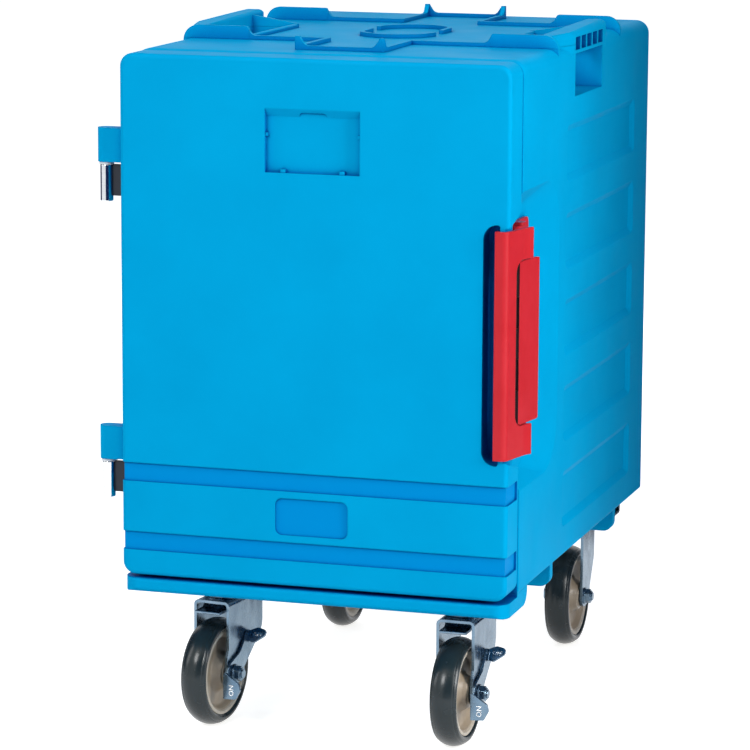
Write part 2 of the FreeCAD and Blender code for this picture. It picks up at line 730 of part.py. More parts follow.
# ---------------------------------------------------------------- casters
def caster_plate(x, y):
    """The flat bolted plate of a caster."""
    half_x, half_y = CASTER_PLATE_X / 2, CASTER_PLATE_Y / 2
    plate = prism(rectangle(x - half_x, x + half_x, y - half_y, y + half_y, 8), "XY", CASTER_TOP_Z, CHANNEL_Z)
    for bolt_x, bolt_y in bolt_places(y, (x,)):
        foot = Vector(bolt_x, bolt_y, CASTER_TOP_Z)
        plate = plate.cut(rod(BOLT_RADIUS + 0.2, foot, foot + Vector(0, 0, CASTER_PLATE)))
    return plate


def turned(corners, point, way):
    """Revolve a (radius, height) outline about the line through the point along the way."""
    face = Part.Face(rounded_wire(corners, "XZ", 0))
    body = face.revolve(Vector(0, 0, 0), Vector(0, 0, 1), 360)
    body.Placement = FreeCAD.Placement(point, FreeCAD.Rotation(Vector(0, 0, 1), way))
    return body


def swivel_plate():
    """A front caster's fixed top: the plate with the upper half of the ball race pressed into it."""
    middle = CROWN_Z + RACE_HEIGHT / 2
    inner = RACE_RADIUS - RACE_LAP
    low = middle - RACE_LAP
    high = middle + RACE_LAP
    cup = turned([(KINGPIN_RADIUS, middle + 2, 0), (inner, middle + 2, 0), (inner, low, 0),
                  (RACE_RADIUS, low, 1), (RACE_RADIUS, high, 3), (inner - 1, CASTER_TOP_Z, 0),
                  (KINGPIN_RADIUS, CASTER_TOP_Z, 0)],
                 Vector(0, 0, 0), Vector(0, 0, 1))
    bore = rod(KINGPIN_RADIUS, Vector(0, 0, CASTER_TOP_Z - 1), Vector(0, 0, CHANNEL_Z))
    return fused([caster_plate(0, 0), cup]).cut(bore)


def kingpin():
    """The rivet that carries a swivel fork: pinned through the plate, headed under the crown."""
    head_z = CROWN_Z - FORK_SHEET - RACE_GAP
    shank = rod(KINGPIN_RADIUS, Vector(0, 0, head_z), Vector(0, 0, CHANNEL_Z))
    head = turned([(0, head_z - 7, 0), (KINGPIN_RADIUS + 3, head_z - 7, 2), (KINGPIN_RADIUS + 5, head_z, 0),
                   (0, head_z, 0)], Vector(0, 0, 0), Vector(0, 0, 1))
    return shank.fuse(head).removeSplitter()


def swivel_race():
    """The lower half of the ball race, on the fork's crown."""
    middle = CROWN_Z + RACE_HEIGHT / 2
    bore = KINGPIN_RADIUS + RUNNING_FIT
    inner = RACE_RADIUS - RACE_LAP - RACE_GAP
    step = middle - RACE_LAP - RACE_GAP
    top = middle + 2 - RACE_GAP
    return turned([(bore, CROWN_Z, 0), (RACE_RADIUS, CROWN_Z, 1), (RACE_RADIUS, step, 1), (inner, step, 0),
                   (inner, top, 0), (bore, top, 0)], Vector(0, 0, 0), Vector(0, 0, 1))


def fork_sheet(side_outline, top, y_low, y_high):
    """A pressed U of sheet over the wheel, trimmed to the legs' side outline."""
    outer = LEG_X + FORK_SHEET
    floor = AXLE_Z - 3 * FORK_EYE
    inside = top - FORK_SHEET
    corners = [(-outer, floor, 0), (-LEG_X, floor, 0), (-LEG_X, inside, 3), (LEG_X, inside, 3),
               (LEG_X, floor, 0), (outer, floor, 0), (outer, top, 6), (-outer, top, 6)]
    return prism(corners, "XZ", y_low, y_high).common(prism(side_outline, "YZ", -outer, outer))


def axle_holes(shape):
    reach = LEG_X + FORK_SHEET + OVERSHOOT
    return shape.cut(rod(AXLE_RADIUS, Vector(-reach, 0, AXLE_Z), Vector(reach, 0, AXLE_Z)))


def swivel_fork():
    """A front fork, drawn with its axle at Y = 0 and its kingpin one trail behind."""
    front = FRONT_TRAIL - FORK_FRONT_REACH
    back = FRONT_TRAIL + FORK_BACK_REACH
    eye = FORK_EYE
    outline = [(front, CROWN_Z, 0), (back, CROWN_Z, 4), (back, AXLE_Z + 38, 24),
               (eye, AXLE_Z - eye, eye - 0.5), (-eye, AXLE_Z - eye, eye - 0.5), (-eye + 1, AXLE_Z + 18, 12),
               (front, AXLE_Z + 30, 10)]
    fork = fork_sheet(outline, CROWN_Z, -2 * eye, back + eye)
    bore = rod(KINGPIN_RADIUS + RUNNING_FIT, Vector(0, FRONT_TRAIL, CROWN_Z - FORK_SHEET - 1),
               Vector(0, FRONT_TRAIL, CROWN_Z + 1))
    return axle_holes(fork.cut(bore))


def rigid_fork():
    """A rear fork, welded to its own top plate, drawn with its axle at Y = 0."""
    middle = REAR_PLATE_BACKSET
    half = REAR_FORK_HALF
    eye = FORK_EYE
    outline = [(middle - half, CASTER_TOP_Z, 0), (middle + half, CASTER_TOP_Z, 0),
               (middle + half - 2, AXLE_Z + 3 * eye, 24), (eye, AXLE_Z - eye, eye - 0.5),
               (-eye, AXLE_Z - eye, eye - 0.5), (-eye + 2, AXLE_Z + 22, 12)]
    fork = fork_sheet(outline, CASTER_TOP_Z, -2 * eye, middle + 2 * half)
    return axle_holes(fused([fork, caster_plate(0, middle)]))


def axle_bolt(stack):
    """The bolt through a fork and its wheel; the stack is what lies between the right leg and the nut."""
    face = LEG_X + FORK_SHEET
    head = hexagon(AXLE_ACROSS, Vector(-face - 6.4, 0, AXLE_Z), Vector(-face, 0, AXLE_Z))
    end = Vector(face + stack + NUT_HEIGHT + 3, 0, AXLE_Z)
    return fused([head, rod(AXLE_RADIUS, Vector(-face, 0, AXLE_Z), end)])


def axle_nut(stack):
    """A flanged lock nut on the axle bolt's right end."""
    start = LEG_X + FORK_SHEET + stack
    flange = rod(10.5, Vector(start, 0, AXLE_Z), Vector(start + 1.6, 0, AXLE_Z))
    body = hexagon(AXLE_ACROSS, Vector(start + 1.6, 0, AXLE_Z), Vector(start + NUT_HEIGHT, 0, AXLE_Z))
    collar = rod(6.8, Vector(start + NUT_HEIGHT, 0, AXLE_Z), Vector(start + NUT_HEIGHT + 1.5, 0, AXLE_Z))
    bore = rod(AXLE_RADIUS, Vector(start, 0, AXLE_Z), Vector(start + NUT_HEIGHT + 2, 0, AXLE_Z))
    return fused([flange, body, collar]).cut(bore)


def axle_sleeve():
    """The steel tube that the wheel turns on, clamped between the fork's legs."""
    start, end = Vector(-LEG_X, 0, AXLE_Z), Vector(LEG_X, 0, AXLE_Z)
    return rod(SLEEVE_RADIUS, start, end).cut(rod(AXLE_RADIUS, start, end))


def wheel_core():
    """The moulded wheel centre: hub, dished web and rim."""
    bore = SLEEVE_RADIUS + RUNNING_FIT
    half = HUB_LENGTH / 2
    rim = RIM_WIDTH / 2
    right = [(RIM_RADIUS, rim, 0), (RIM_RADIUS - 4.5, rim, 1), (RIM_RADIUS - 8, 5, 5), (HUB_RADIUS + 5, 5, 6),
             (HUB_RADIUS, half, 1.5), (bore, half, 0)]
    left = [(r, -h, c) for r, h, c in reversed(right)]
    return turned(right + left, Vector(0, 0, AXLE_Z), Vector(1, 0, 0))


def tyre():
    """The crowned tyre over the rim."""
    half = TYRE_WIDTH / 2
    rim = RIM_WIDTH / 2
    tread = WHEEL_DIAMETER / 2
    edge = tread - TYRE_CROWN
    shoulder = RIM_RADIUS + 1.5
    points = [Vector(RIM_RADIUS, 0, -rim), Vector(shoulder, 0, -half), Vector(edge, 0, -half),
              Vector(edge, 0, half), Vector(shoulder, 0, half), Vector(RIM_RADIUS, 0, rim)]
    lines = [(0, 1), (1, 2), (3, 4), (4, 5), (5, 0)]
    edges = [Part.LineSegment(points[a], points[b]).toShape() for a, b in lines]
    edges.append(Part.Arc(points[2], Vector(tread, 0, 0), points[3]).toShape())
    face = Part.Face(Part.Wire(Part.__sortEdges__(edges)))
    body = face.revolve(Vector(0, 0, 0), Vector(0, 0, 1), 360)
    along_axle = FreeCAD.Rotation(Vector(0, 0, 1), Vector(1, 0, 0))
    body.Placement = FreeCAD.Placement(Vector(0, 0, AXLE_Z), along_axle)
    return body


def brake_shoe():
    """The bent spring plate under the crown that the pedal's cam bears on, just above the tread."""
    crown = CROWN_Z - FORK_SHEET
    half = TYRE_WIDTH / 2
    low = WHEEL_DIAMETER + SHOE_GAP
    sheet = SHOE_SHEET
    rise = crown - sheet - low
    corners = [(SHOE_FRONT, low, 1), (2, low, 6), (2 + rise, crown - sheet, 3), (SHOE_BACK, crown - sheet, 0),
               (SHOE_BACK, crown, 0), (rise, crown, 5), (0, low + sheet, 4), (SHOE_FRONT, low + sheet, 1)]
    return prism(corners, "YZ", -half, half)


def pedal_stack():
    return PEDAL_GAP + PEDAL_SHEET + PEDAL_GAP


def brake_pedal():
    """The rocking pedal on the axle: a press-to-brake tab low in front, a release tab high behind."""
    inner = LEG_X + FORK_SHEET + PEDAL_GAP
    outer = inner + PEDAL_SHEET
    hub = PEDAL_HUB
    front = -FRONT_TAB_Y
    low = AXLE_Z - FRONT_TAB_LOW
    back = REAR_TAB_Y
    outline = [(-hub, AXLE_Z - hub, hub - 1), (hub, AXLE_Z - hub, hub - 1), (hub + 4, AXLE_Z + 8, 6),
               (back + 6, AXLE_Z + 28, 4), (back - 2, AXLE_Z + 47, 4), (hub - 1, AXLE_Z + 22, 12),
               (-hub, AXLE_Z + 12, 8), (front, AXLE_Z + 2, 2), (front, low + 2, 2), (front + 6, low + 2, 2)]
    plate = prism(outline, "YZ", inner, outer)
    tip = outer + TAB_REACH
    front_tab = prism([(inner, low, 1), (tip - 6, low + 1, 2), (tip, low + 12, 2), (tip - 2, low + 20, 3),
                       (outer, AXLE_Z + 5, 3), (inner, AXLE_Z + 5, 0)], "XZ", front - PEDAL_SHEET, front)
    rear_tab = prism([(inner, AXLE_Z + 30, 1), (outer + 6, AXLE_Z + 28, 4), (tip, AXLE_Z + 38, 6),
                      (tip, AXLE_Z + 45, 4), (outer + 8, AXLE_Z + 47, 6), (inner, AXLE_Z + 42, 1)],
                     "XZ", 0, PEDAL_SHEET)
    rear_tab.rotate(Vector(0, 0, AXLE_Z + 36), Vector(1, 0, 0), REAR_TAB_TILT)
    rear_tab.translate(Vector(0, back, 0))
    front_joint = box(inner, outer, front - PEDAL_SHEET, front + 2, low + 4, AXLE_Z)
    bore = rod(AXLE_RADIUS + RUNNING_FIT, Vector(inner - 1, 0, AXLE_Z), Vector(outer + 1, 0, AXLE_Z))
    return fused([plate, front_tab, front_joint, rear_tab]).cut(bore)


def on_swivel(shape, side):
    """Put a front caster's piece, drawn with its axle at the origin, at its place and turn."""
    x, turn = SWIVELS[side]
    moved = shape.copy()
    moved.translate(Vector(0, -FRONT_TRAIL, 0))
    moved.rotate(Vector(0, 0, 0), Vector(0, 0, 1), turn)
    moved.translate(Vector(x, FRONT_KINGPIN_Y, 0))
    return moved


def on_kingpin(shape, side):
    """Put a piece that is drawn round the origin at a front kingpin."""
    moved = shape.copy()
    moved.translate(Vector(SWIVELS[side][0], FRONT_KINGPIN_Y, 0))
    return moved


def on_rear(shape, side):
    moved = shape.copy()
    moved.translate(Vector(side * REAR_WHEEL_X, REAR_AXLE_Y, 0))
    return moved


# ---------------------------------------------------------------- door
def door_block():
    """The door's outer form with its softened rims."""
    outline = rectangle(-DOOR_HALF, DOOR_HALF, DOOR_Z, DOOR_TOP_Z, DOOR_CORNER)
    block = prism(outline, "XZ", 0, DOOR_THICKNESS)
    block = softened(block, DOOR_EDGE, lambda bounds: bounds.YMax < OVERSHOOT)
    return softened(block, 2.0, lambda bounds: bounds.YMin > DOOR_THICKNESS - OVERSHOOT)


def door_plug():
    """The raised inner face that enters the cabinet's mouth."""
    half = CAVITY_HALF - PLUG_CLEARANCE
    outline = rectangle(-half, half, CAVITY_Z + PLUG_CLEARANCE, CAVITY_TOP_Z - PLUG_CLEARANCE,
                        CAVITY_CORNER - PLUG_CLEARANCE)
    plug = prism(outline, "XZ", DOOR_THICKNESS - OVERSHOOT, DOOR_THICKNESS + PLUG_DEPTH)
    return softened(plug, 4.0, lambda bounds: bounds.YMin > DOOR_THICKNESS + PLUG_DEPTH - OVERSHOOT)


def door_band(low):
    """A shallow band round the door's front and sides."""
    half = DOOR_HALF + 10
    inner = DOOR_HALF - BAND_DEPTH
    band = box(-half, half, -10, DOOR_THICKNESS - 6, low, low + BAND_HEIGHT)
    return band.cut(box(-inner, inner, BAND_DEPTH, DOOR_THICKNESS, low, low + BAND_HEIGHT))


def logo_recess():
    """The shallow rounded plate recess, left bare."""
    half = LOGO_WIDTH / 2
    low = DOOR_Z + LOGO_LOW
    return prism(rectangle(-half, half, low, low + LOGO_HEIGHT, 8), "XZ", -OVERSHOOT, LOGO_DEPTH)


def label_recess():
    """The card recess with a sloped top wall and a thumb notch; the nibs in it hold a card."""
    half = LABEL_WIDTH / 2
    top = DOOR_TOP_Z - LABEL_BELOW_TOP
    low = top - LABEL_HEIGHT
    section = [(-OVERSHOOT, low, 0), (LABEL_DEPTH, low, 0), (LABEL_DEPTH, top - LABEL_SLOPE, 0), (0, top, 0),
               (-OVERSHOOT, top, 0)]
    pocket = prism(section, "YZ", -half, half)
    notch = prism(rectangle(-LABEL_NOTCH / 2, LABEL_NOTCH / 2, top - LABEL_SLOPE - 8,
                            top - LABEL_SLOPE + LABEL_NOTCH_HEIGHT, 4), "XZ", -OVERSHOOT, LABEL_DEPTH)
    nibs = []
    for side in (-1, 1):
        upper = sorted((side * NIB_SIDE_X, side * (half + 1)))
        nibs.append(box(*upper, 1.5, LABEL_DEPTH + 1, top - 31, top - 31 + NIB_HEIGHT))
        centre = side * NIB_LOW_X
        nibs.append(box(centre - NIB_WIDTH / 2, centre + NIB_WIDTH / 2, 1.5, LABEL_DEPTH + 1, low - 1,
                        low + NIB_HEIGHT))
    return pocket.fuse(notch).cut(Part.makeCompound(nibs))


def latch_post_tools():
    """The front pocket and side recess that leave an upright post for the latch's hook."""
    low = LATCH_Z - POCKET_HALF
    high = LATCH_Z + POCKET_HALF
    outer = POST_INNER_X
    inner = outer - POCKET_WIDTH
    pocket = prism([(inner, low, 16), (outer, low, 3), (outer, high, 3), (inner, high, 16)], "XZ",
                   -OVERSHOOT, POCKET_DEPTH)
    lean = POST_DEPTH * 0.22
    side = DOOR_HALF + 5
    back = DOOR_THICKNESS + OVERSHOOT
    plan = [(POST_OUTER_X - 0.2, -OVERSHOOT, 0), (side, -OVERSHOOT, 0), (side, back, 0),
            (RECESS_FLOOR_X, back, 0), (RECESS_FLOOR_X, POST_DEPTH, 2), (POST_OUTER_X + lean, POST_DEPTH, 1)]
    recess_low = LATCH_Z - RECESS_HALF
    recess_high = LATCH_Z + RECESS_HALF
    recess = prism(plan, "XY", recess_low, recess_high)
    front = -5 * OVERSHOOT
    arch = prism([(front, recess_low + RECESS_ARCH, RECESS_ARCH), (back + 4, recess_low, 0),
                  (back + 4, recess_high, 0), (front, recess_high - RECESS_ARCH, RECESS_ARCH)],
                 "YZ", RECESS_FLOOR_X - 20, side)
    return [pocket, recess.common(arch)]


def hinge_lug(low):
    """A moulded lug on the door's left edge, round the hinge pin."""
    reach = -DOOR_HALF + 8
    far, front, back = HINGE_X - LUG_RADIUS, HINGE_Y - LUG_RADIUS, HINGE_Y + LUG_RADIUS
    round_end = LUG_RADIUS - 0.1
    corners = [(far, front, round_end), (reach, front, 0), (reach, back, 0), (far, back, round_end)]
    return prism(corners, "XY", low, low + LUG_LENGTH)


def barrel_lows():
    return {"upper": BODY_Z + UPPER_BARREL_LOW, "lower": BODY_Z + LOWER_BARREL_LOW}


def lug_low(barrel_low):
    return barrel_low + BARREL_LENGTH + SEAT_GAP + WASHER_THICKNESS


def gasket_rings():
    """The outlines of the gasket: outside and inside, round the cabinet's mouth."""
    outer = CAVITY_HALF + GASKET_MARGIN + GASKET_WIDTH
    inner = CAVITY_HALF + GASKET_MARGIN
    rings = []
    for half, reach in ((outer, GASKET_MARGIN + GASKET_WIDTH), (inner, GASKET_MARGIN)):
        rings.append(rectangle(-half, half, CAVITY_Z - reach, CAVITY_TOP_Z + reach, CAVITY_CORNER + reach))
    return rings


def door_gasket():
    """The soft seal, seated in its groove and all but touching the cabinet's face."""
    outer, inner = gasket_rings()
    start = DOOR_THICKNESS - GASKET_DEPTH
    end = CABINET_Y - GASKET_GAP
    return prism(outer, "XZ", start, end).cut(prism(inner, "XZ", start, end))


def door_foam():
    """The foam inside the door, clear of the latch post and the lugs."""
    side = POST_INNER_X - POCKET_WIDTH - 2 * SKIN
    low = DOOR_Z + 3 * SKIN
    high = DOOR_TOP_Z - 3 * SKIN
    return box(-side, side, LABEL_DEPTH + SKIN, DOOR_THICKNESS - GASKET_DEPTH - SKIN, low, high)


def door_moulding():
    lugs = [hinge_lug(lug_low(low)) for low in barrel_lows().values()]
    door = fused([door_block(), door_plug()] + lugs)
    outer, inner = gasket_rings()
    groove = prism(outer, "XZ", DOOR_THICKNESS - GASKET_DEPTH, DOOR_THICKNESS + PLUG_DEPTH)
    groove = groove.cut(prism(inner, "XZ", DOOR_THICKNESS - GASKET_DEPTH, DOOR_THICKNESS + PLUG_DEPTH))
    tools = [groove, logo_recess(), label_recess(), door_foam()]
    tools += [door_band(DOOR_Z + low) for low in (BAND_LOWER, BAND_UPPER)]
    tools += latch_post_tools()
    tools += [hinge_pin(low) for low in barrel_lows().values()]
    return door.cut(tools)


def door_parts():
    """The door's moulding as its panel and the two hinge lugs beside it."""
    whole = door_moulding()
    side = -DOOR_HALF
    deep = 2 * DOOR_THICKNESS
    return {
        "door_shell": whole.common(box(side, BODY_WIDTH, -deep, deep, 0, ROOF_Z)),
        "hinge_lugs": whole.common(box(-BODY_WIDTH, side, -deep, deep, 0, ROOF_Z)),
    }


# ---------------------------------------------------------------- hinges
def hinge_pin(barrel_low):
    """A pin fixed in the door's lug that drops into the barrel below it."""
    start = Vector(HINGE_X, HINGE_Y, barrel_low + 2)
    end = Vector(HINGE_X, HINGE_Y, lug_low(barrel_low) + LUG_LENGTH - 4)
    return rod(HINGE_PIN_RADIUS, start, end)


def hinge_washer(barrel_low):
    """The plain white washer between lug and barrel."""
    top = Vector(HINGE_X, HINGE_Y, lug_low(barrel_low))
    foot = top - Vector(0, 0, WASHER_THICKNESS)
    return rod(WASHER_RADIUS, foot, top).cut(rod(HINGE_PIN_RADIUS, foot, top))


def hinge_barrel(barrel_low):
    """The polished barrel, bored for the door's pin."""
    foot = Vector(HINGE_X, HINGE_Y, barrel_low)
    top = foot + Vector(0, 0, BARREL_LENGTH)
    tube = rod(BARREL_RADIUS, foot, top)
    tube = softened(tube, 1.0, lambda bounds: bounds.ZLength < OVERSHOOT)
    return tube.cut(rod(HINGE_PIN_RADIUS + RUNNING_FIT, foot, top))


def hinge_plate(barrel_low):
    """The cranked plate from the barrel to the cabinet's side."""
    wall = -HALF_WIDTH
    sheet = HINGE_SHEET
    back = HINGE_PLATE_BACK
    plan = [(HINGE_X, HINGE_Y, 0), (wall, HINGE_Y, 3), (wall, back, 0), (wall - sheet, back, 0),
            (wall - sheet, HINGE_Y + sheet, 1.5), (HINGE_X, HINGE_Y + sheet, 0)]
    low = barrel_low + (BARREL_LENGTH - HINGE_PLATE_HEIGHT)
    plate = prism(plan, "XY", low, low + HINGE_PLATE_HEIGHT)
    high = low + HINGE_PLATE_HEIGHT
    front = HINGE_Y - 20
    flag = prism([(front, low - 5, 0), (back, low, 8), (back, high, 8), (front, high + 5, 0)],
                 "YZ", HINGE_X - 20, 0)
    plate = plate.common(flag)
    barrel = rod(BARREL_RADIUS, Vector(HINGE_X, HINGE_Y, low - 5), Vector(HINGE_X, HINGE_Y, high + 5))
    holes = [rod(SCREW_RADIUS, Vector(wall - sheet, y, z), Vector(wall, y, z))
             for y, z in hinge_screw_places(low)]
    return plate.cut([barrel] + holes)


def hinge_screw_places(plate_low):
    """Three screws in a triangle through the cabinet leg of a hinge plate."""
    middle = plate_low + HINGE_PLATE_HEIGHT / 2
    return [(CABINET_Y + 12, middle + 9), (CABINET_Y + 12, middle - 9), (HINGE_PLATE_BACK - 14, middle)]


def all_hinge_screw_places():
    lift = BARREL_LENGTH - HINGE_PLATE_HEIGHT
    return [spot for low in barrel_lows().values() for spot in hinge_screw_places(low + lift)]


def hinge_screw_holes():
    wall = -HALF_WIDTH
    depth = Vector(SCREW_LENGTH + 0.5, 0, 0)
    feet = [Vector(wall, y, z) for y, z in all_hinge_screw_places()]
    return [rod(SCREW_RADIUS, foot, foot + depth) for foot in feet]


def hinge_screws():
    seat = -HALF_WIDTH - HINGE_SHEET
    length = SCREW_LENGTH + HINGE_SHEET
    return Part.makeCompound([screw(Vector(seat, y, z), Vector(1, 0, 0), length)
                              for y, z in all_hinge_screw_places()])


# ---------------------------------------------------------------- draw latch
def knuckle_spans():
    """Levels of the knuckles along the lever's pin, base and lever in turn."""
    half = CUTOUT_HALF - HOOK_EYE
    step = 2 * half / KNUCKLE_COUNT
    return [(LATCH_Z - half + i * step + KNUCKLE_GAP / 2, LATCH_Z - half + (i + 1) * step - KNUCKLE_GAP / 2)
            for i in range(KNUCKLE_COUNT)]


def scoop_floor_x():
    return HALF_WIDTH - SCOOP_DEPTH


def latch_base():
    """The foot screwed into the scoop, with knuckles that reach forward beside the door."""
    floor = scoop_floor_x()
    sheet = LATCH_BASE_SHEET
    half = HOOK_LENGTH / 2 + 4
    back = LATCH_BASE_BACK
    plate = box(floor, floor + sheet, LATCH_BASE_FRONT, back, LATCH_Z - half, LATCH_Z + half)
    plate = softened(plate, 8.0, lambda bounds: bounds.YMin > back - OVERSHOOT and bounds.ZLength < OVERSHOOT)
    ears = []
    for side in (-1, 1):
        z = LATCH_Z + side * (half - 2)
        ears.append(prism([(floor, LATCH_BASE_FRONT, 0), (HALF_WIDTH, LATCH_BASE_FRONT, 5),
                           (HALF_WIDTH, LATCH_BASE_FRONT + 13, 5), (floor, LATCH_BASE_FRONT + 20, 0)],
                          "XY", z - 2, z + 2))
    x, y = LEVER_PIN_X, LEVER_PIN_Y
    arm_plan = [(x - 5.3, y, 0), (x - 0.5, y, 0), (x - 1.5, y + 7, 2),
                (floor + sheet, LATCH_BASE_FRONT - 4, 3), (floor + sheet, LATCH_BASE_FRONT + 6, 0),
                (floor, LATCH_BASE_FRONT + 6, 0), (floor, LATCH_BASE_FRONT - 8, 4)]
    arms = []
    for low, high in knuckle_spans()[1::2]:
        arms.append(prism(arm_plan, "XY", low, high))
        arms.append(rod(KNUCKLE_RADIUS, Vector(x, y, low), Vector(x, y, high)))
    base = fused([plate] + ears + arms)
    pin_way = rod(LATCH_PIN_RADIUS, Vector(x, y, LATCH_Z - half), Vector(x, y, LATCH_Z + half))
    holes = [rod(SCREW_RADIUS, Vector(floor, back_y, z), Vector(floor + sheet, back_y, z))
             for back_y, z in latch_screw_places()]
    return base.cut([pin_way] + holes)


def latch_screw_places():
    """Four screws in the base plate, behind the lever's free edge."""
    y = LATCH_BASE_BACK - 12
    reach = HOOK_LENGTH / 2 - 14
    return [(y, LATCH_Z + offset) for offset in (-reach, -reach / 3, reach / 3, reach)]


def latch_screw_holes():
    floor = scoop_floor_x()
    return [rod(SCREW_RADIUS, Vector(floor, y, z), Vector(floor - SCREW_LENGTH - 0.5, y, z))
            for y, z in latch_screw_places()]


def latch_screws():
    seat = scoop_floor_x() + LATCH_BASE_SHEET
    length = SCREW_LENGTH + LATCH_BASE_SHEET
    return Part.makeCompound([screw(Vector(seat, y, z), Vector(-1, 0, 0), length)
                              for y, z in latch_screw_places()])


def lever_ends():
    half = CUTOUT_HALF - LEVER_SIDE_GAP
    return LATCH_Z - half, LATCH_Z + half


def latch_lever():
    """The lever: a flared plate on two hubs, with gaps in the front hub for the base's knuckles."""
    low, high = lever_ends()
    ax, ay, bx, by = LEVER_PIN_X, LEVER_PIN_Y, HOOK_PIN_X, HOOK_PIN_Y
    wall = LEVER_WALL
    front_x = ax + KNUCKLE_RADIUS + 0.3
    plan = [(front_x, ay - 3.5, 1), (LEVER_TIP_X, LEVER_TIP_Y, 1.5), (LEVER_TIP_X - wall, LEVER_TIP_Y, 1.5),
            (bx + 4, by + 6, 2), (ax + 1, ay - 1, 0)]
    plate = prism(plan, "XY", low, high)
    corner = CUTOUT_CORNER - LEVER_SIDE_GAP
    trim = prism([(CUTOUT_FRONT + LEVER_SIDE_GAP, low, corner), (LEVER_TIP_Y + 5, low, 12),
                  (LEVER_TIP_Y + 5, high, 12), (CUTOUT_FRONT + LEVER_SIDE_GAP, high, corner)],
                 "YZ", ax - 20, LEVER_TIP_X + 5)
    web = prism([(ax + 0.5, ay, 0), (ax + 4, ay, 0), (bx + 5, by, 0), (bx - 0.5, by, 0)], "XY", low, high)
    hubs = [rod(KNUCKLE_RADIUS, Vector(x, y, low), Vector(x, y, high)) for x, y in ((ax, ay), (bx, by))]
    lever = fused([plate, web] + hubs).common(trim)
    gaps = []
    for start, end in knuckle_spans()[1::2]:
        gaps.append(rod(KNUCKLE_RADIUS + KNUCKLE_GAP, Vector(ax, ay, start - KNUCKLE_GAP),
                        Vector(ax, ay, end + KNUCKLE_GAP)))
    bores = [rod(LATCH_PIN_RADIUS + RUNNING_FIT, Vector(ax, ay, low), Vector(ax, ay, high)),
             rod(LATCH_PIN_RADIUS, Vector(bx, by, low), Vector(bx, by, high))]
    return lever.cut(gaps + bores)


def lever_pin():
    """The pin through the base's and lever's knuckles."""
    spans = knuckle_spans()
    return rod(LATCH_PIN_RADIUS, Vector(LEVER_PIN_X, LEVER_PIN_Y, spans[0][0] + 2),
               Vector(LEVER_PIN_X, LEVER_PIN_Y, spans[-1][1] - 2))


def hook_eye_levels():
    half = CUTOUT_HALF
    return ((LATCH_Z + half, LATCH_Z + half + 22), (LATCH_Z - half - 22, LATCH_Z - half))


def hook_pin():
    """The pin that carries the hook on the lever, with a flat head at each end."""
    x, y = HOOK_PIN_X, HOOK_PIN_Y
    (_, top), (bottom, _) = hook_eye_levels()
    gap = RUNNING_FIT + SEAT_GAP
    shank = rod(LATCH_PIN_RADIUS, Vector(x, y, bottom - gap), Vector(x, y, top + gap))
    heads = [rod(LATCH_PIN_RADIUS + 2, Vector(x, y, top + gap), Vector(x, y, top + gap + 2)),
             rod(LATCH_PIN_RADIUS + 2, Vector(x, y, bottom - gap - 2), Vector(x, y, bottom - gap))]
    return fused([shank] + heads)


def latch_hook():
    """The hook: a wall wrapped round the door's post, cut out at the rear for the lever."""
    low = LATCH_Z - HOOK_LENGTH / 2
    high = LATCH_Z + HOOK_LENGTH / 2
    wall = HOOK_WALL
    lip_x = POST_INNER_X - HOOK_LIP_GAP - wall
    front = -HOOK_SEAT - wall
    side_x = POST_OUTER_X + HOOK_SIDE_GAP + wall
    x, y = HOOK_PIN_X, HOOK_PIN_Y
    eye = HOOK_EYE
    plan = [(lip_x, front, 1.5), (side_x - 1, front, 8), (side_x + 9, y - 5, 30), (LEVER_TIP_X, y + eye, 1.5),
            (LEVER_TIP_X - wall + 0.5, y + eye + 2, 1.5), (side_x + 5, y - 4, 30),
            (side_x - wall, front + wall, 1.0), (lip_x + wall, front + wall, 1.0),
            (lip_x + wall, HOOK_LIP, 1.5), (lip_x, HOOK_LIP, 1.5)]
    body = prism(plan, "XY", low, high)
    half = CUTOUT_HALF
    behind = LEVER_TIP_Y
    cutout = prism([(CUTOUT_FRONT, LATCH_Z - half, CUTOUT_CORNER), (behind, LATCH_Z - half, 0),
                    (behind, LATCH_Z + half, 0), (CUTOUT_FRONT, LATCH_Z + half, CUTOUT_CORNER)],
                   "YZ", POST_OUTER_X - 5, LEVER_TIP_X + 10)
    eye_plan = [(x - eye, y - eye, eye - 0.1), (x + eye - 0.4, y - eye, 0), (x + eye + 1.5, y + eye, 0),
                (x - eye, y + eye, eye - 0.1)]
    eyes = [prism(eye_plan, "XY", *levels) for levels in hook_eye_levels()]
    bore = rod(LATCH_PIN_RADIUS + RUNNING_FIT, Vector(x, y, low), Vector(x, y, high))
    return fused([body.cut(cutout)] + eyes).cut(bore)


# ---------------------------------------------------------------- the whole carrier
def cabinet_pieces():
    return {
        **moulding_parts(),
        "cabinet_foam": cabinet_foam(),
        "base_sheets": base_sheets(),
        "base_screws": base_screws(),
        "channel_front": caster_channel(FRONT_KINGPIN_Y, front_plate_centres()),
        "channel_rear": caster_channel(rear_plate_y(), (-REAR_WHEEL_X, REAR_WHEEL_X)),
        "caster_bolts": caster_bolts(),
        "hinge_screws": hinge_screws(),
        "latch_base": latch_base(),
        "latch_screws": latch_screws(),
        "lever_pin": lever_pin(),
    }


def hinge_and_door_pieces():
    pieces = {**door_parts(), "door_foam": door_foam(), "door_gasket": door_gasket()}
    for name, low in barrel_lows().items():
        pieces["hinge_plate_" + name] = hinge_plate(low)
    pairs = {"hinge_barrels": hinge_barrel, "hinge_pins": hinge_pin, "hinge_washers": hinge_washer}
    for name, maker in pairs.items():
        pieces[name] = Part.makeCompound([maker(low) for low in barrel_lows().values()])
    return pieces


def latch_pieces():
    return {"latch_lever": latch_lever(), "hook_pin": hook_pin(), "latch_hook": latch_hook()}


def wheel():
    """A wheel and its tyre, drawn with the axle at the origin."""
    return {"wheel_core": wheel_core(), "tyre": tyre()}


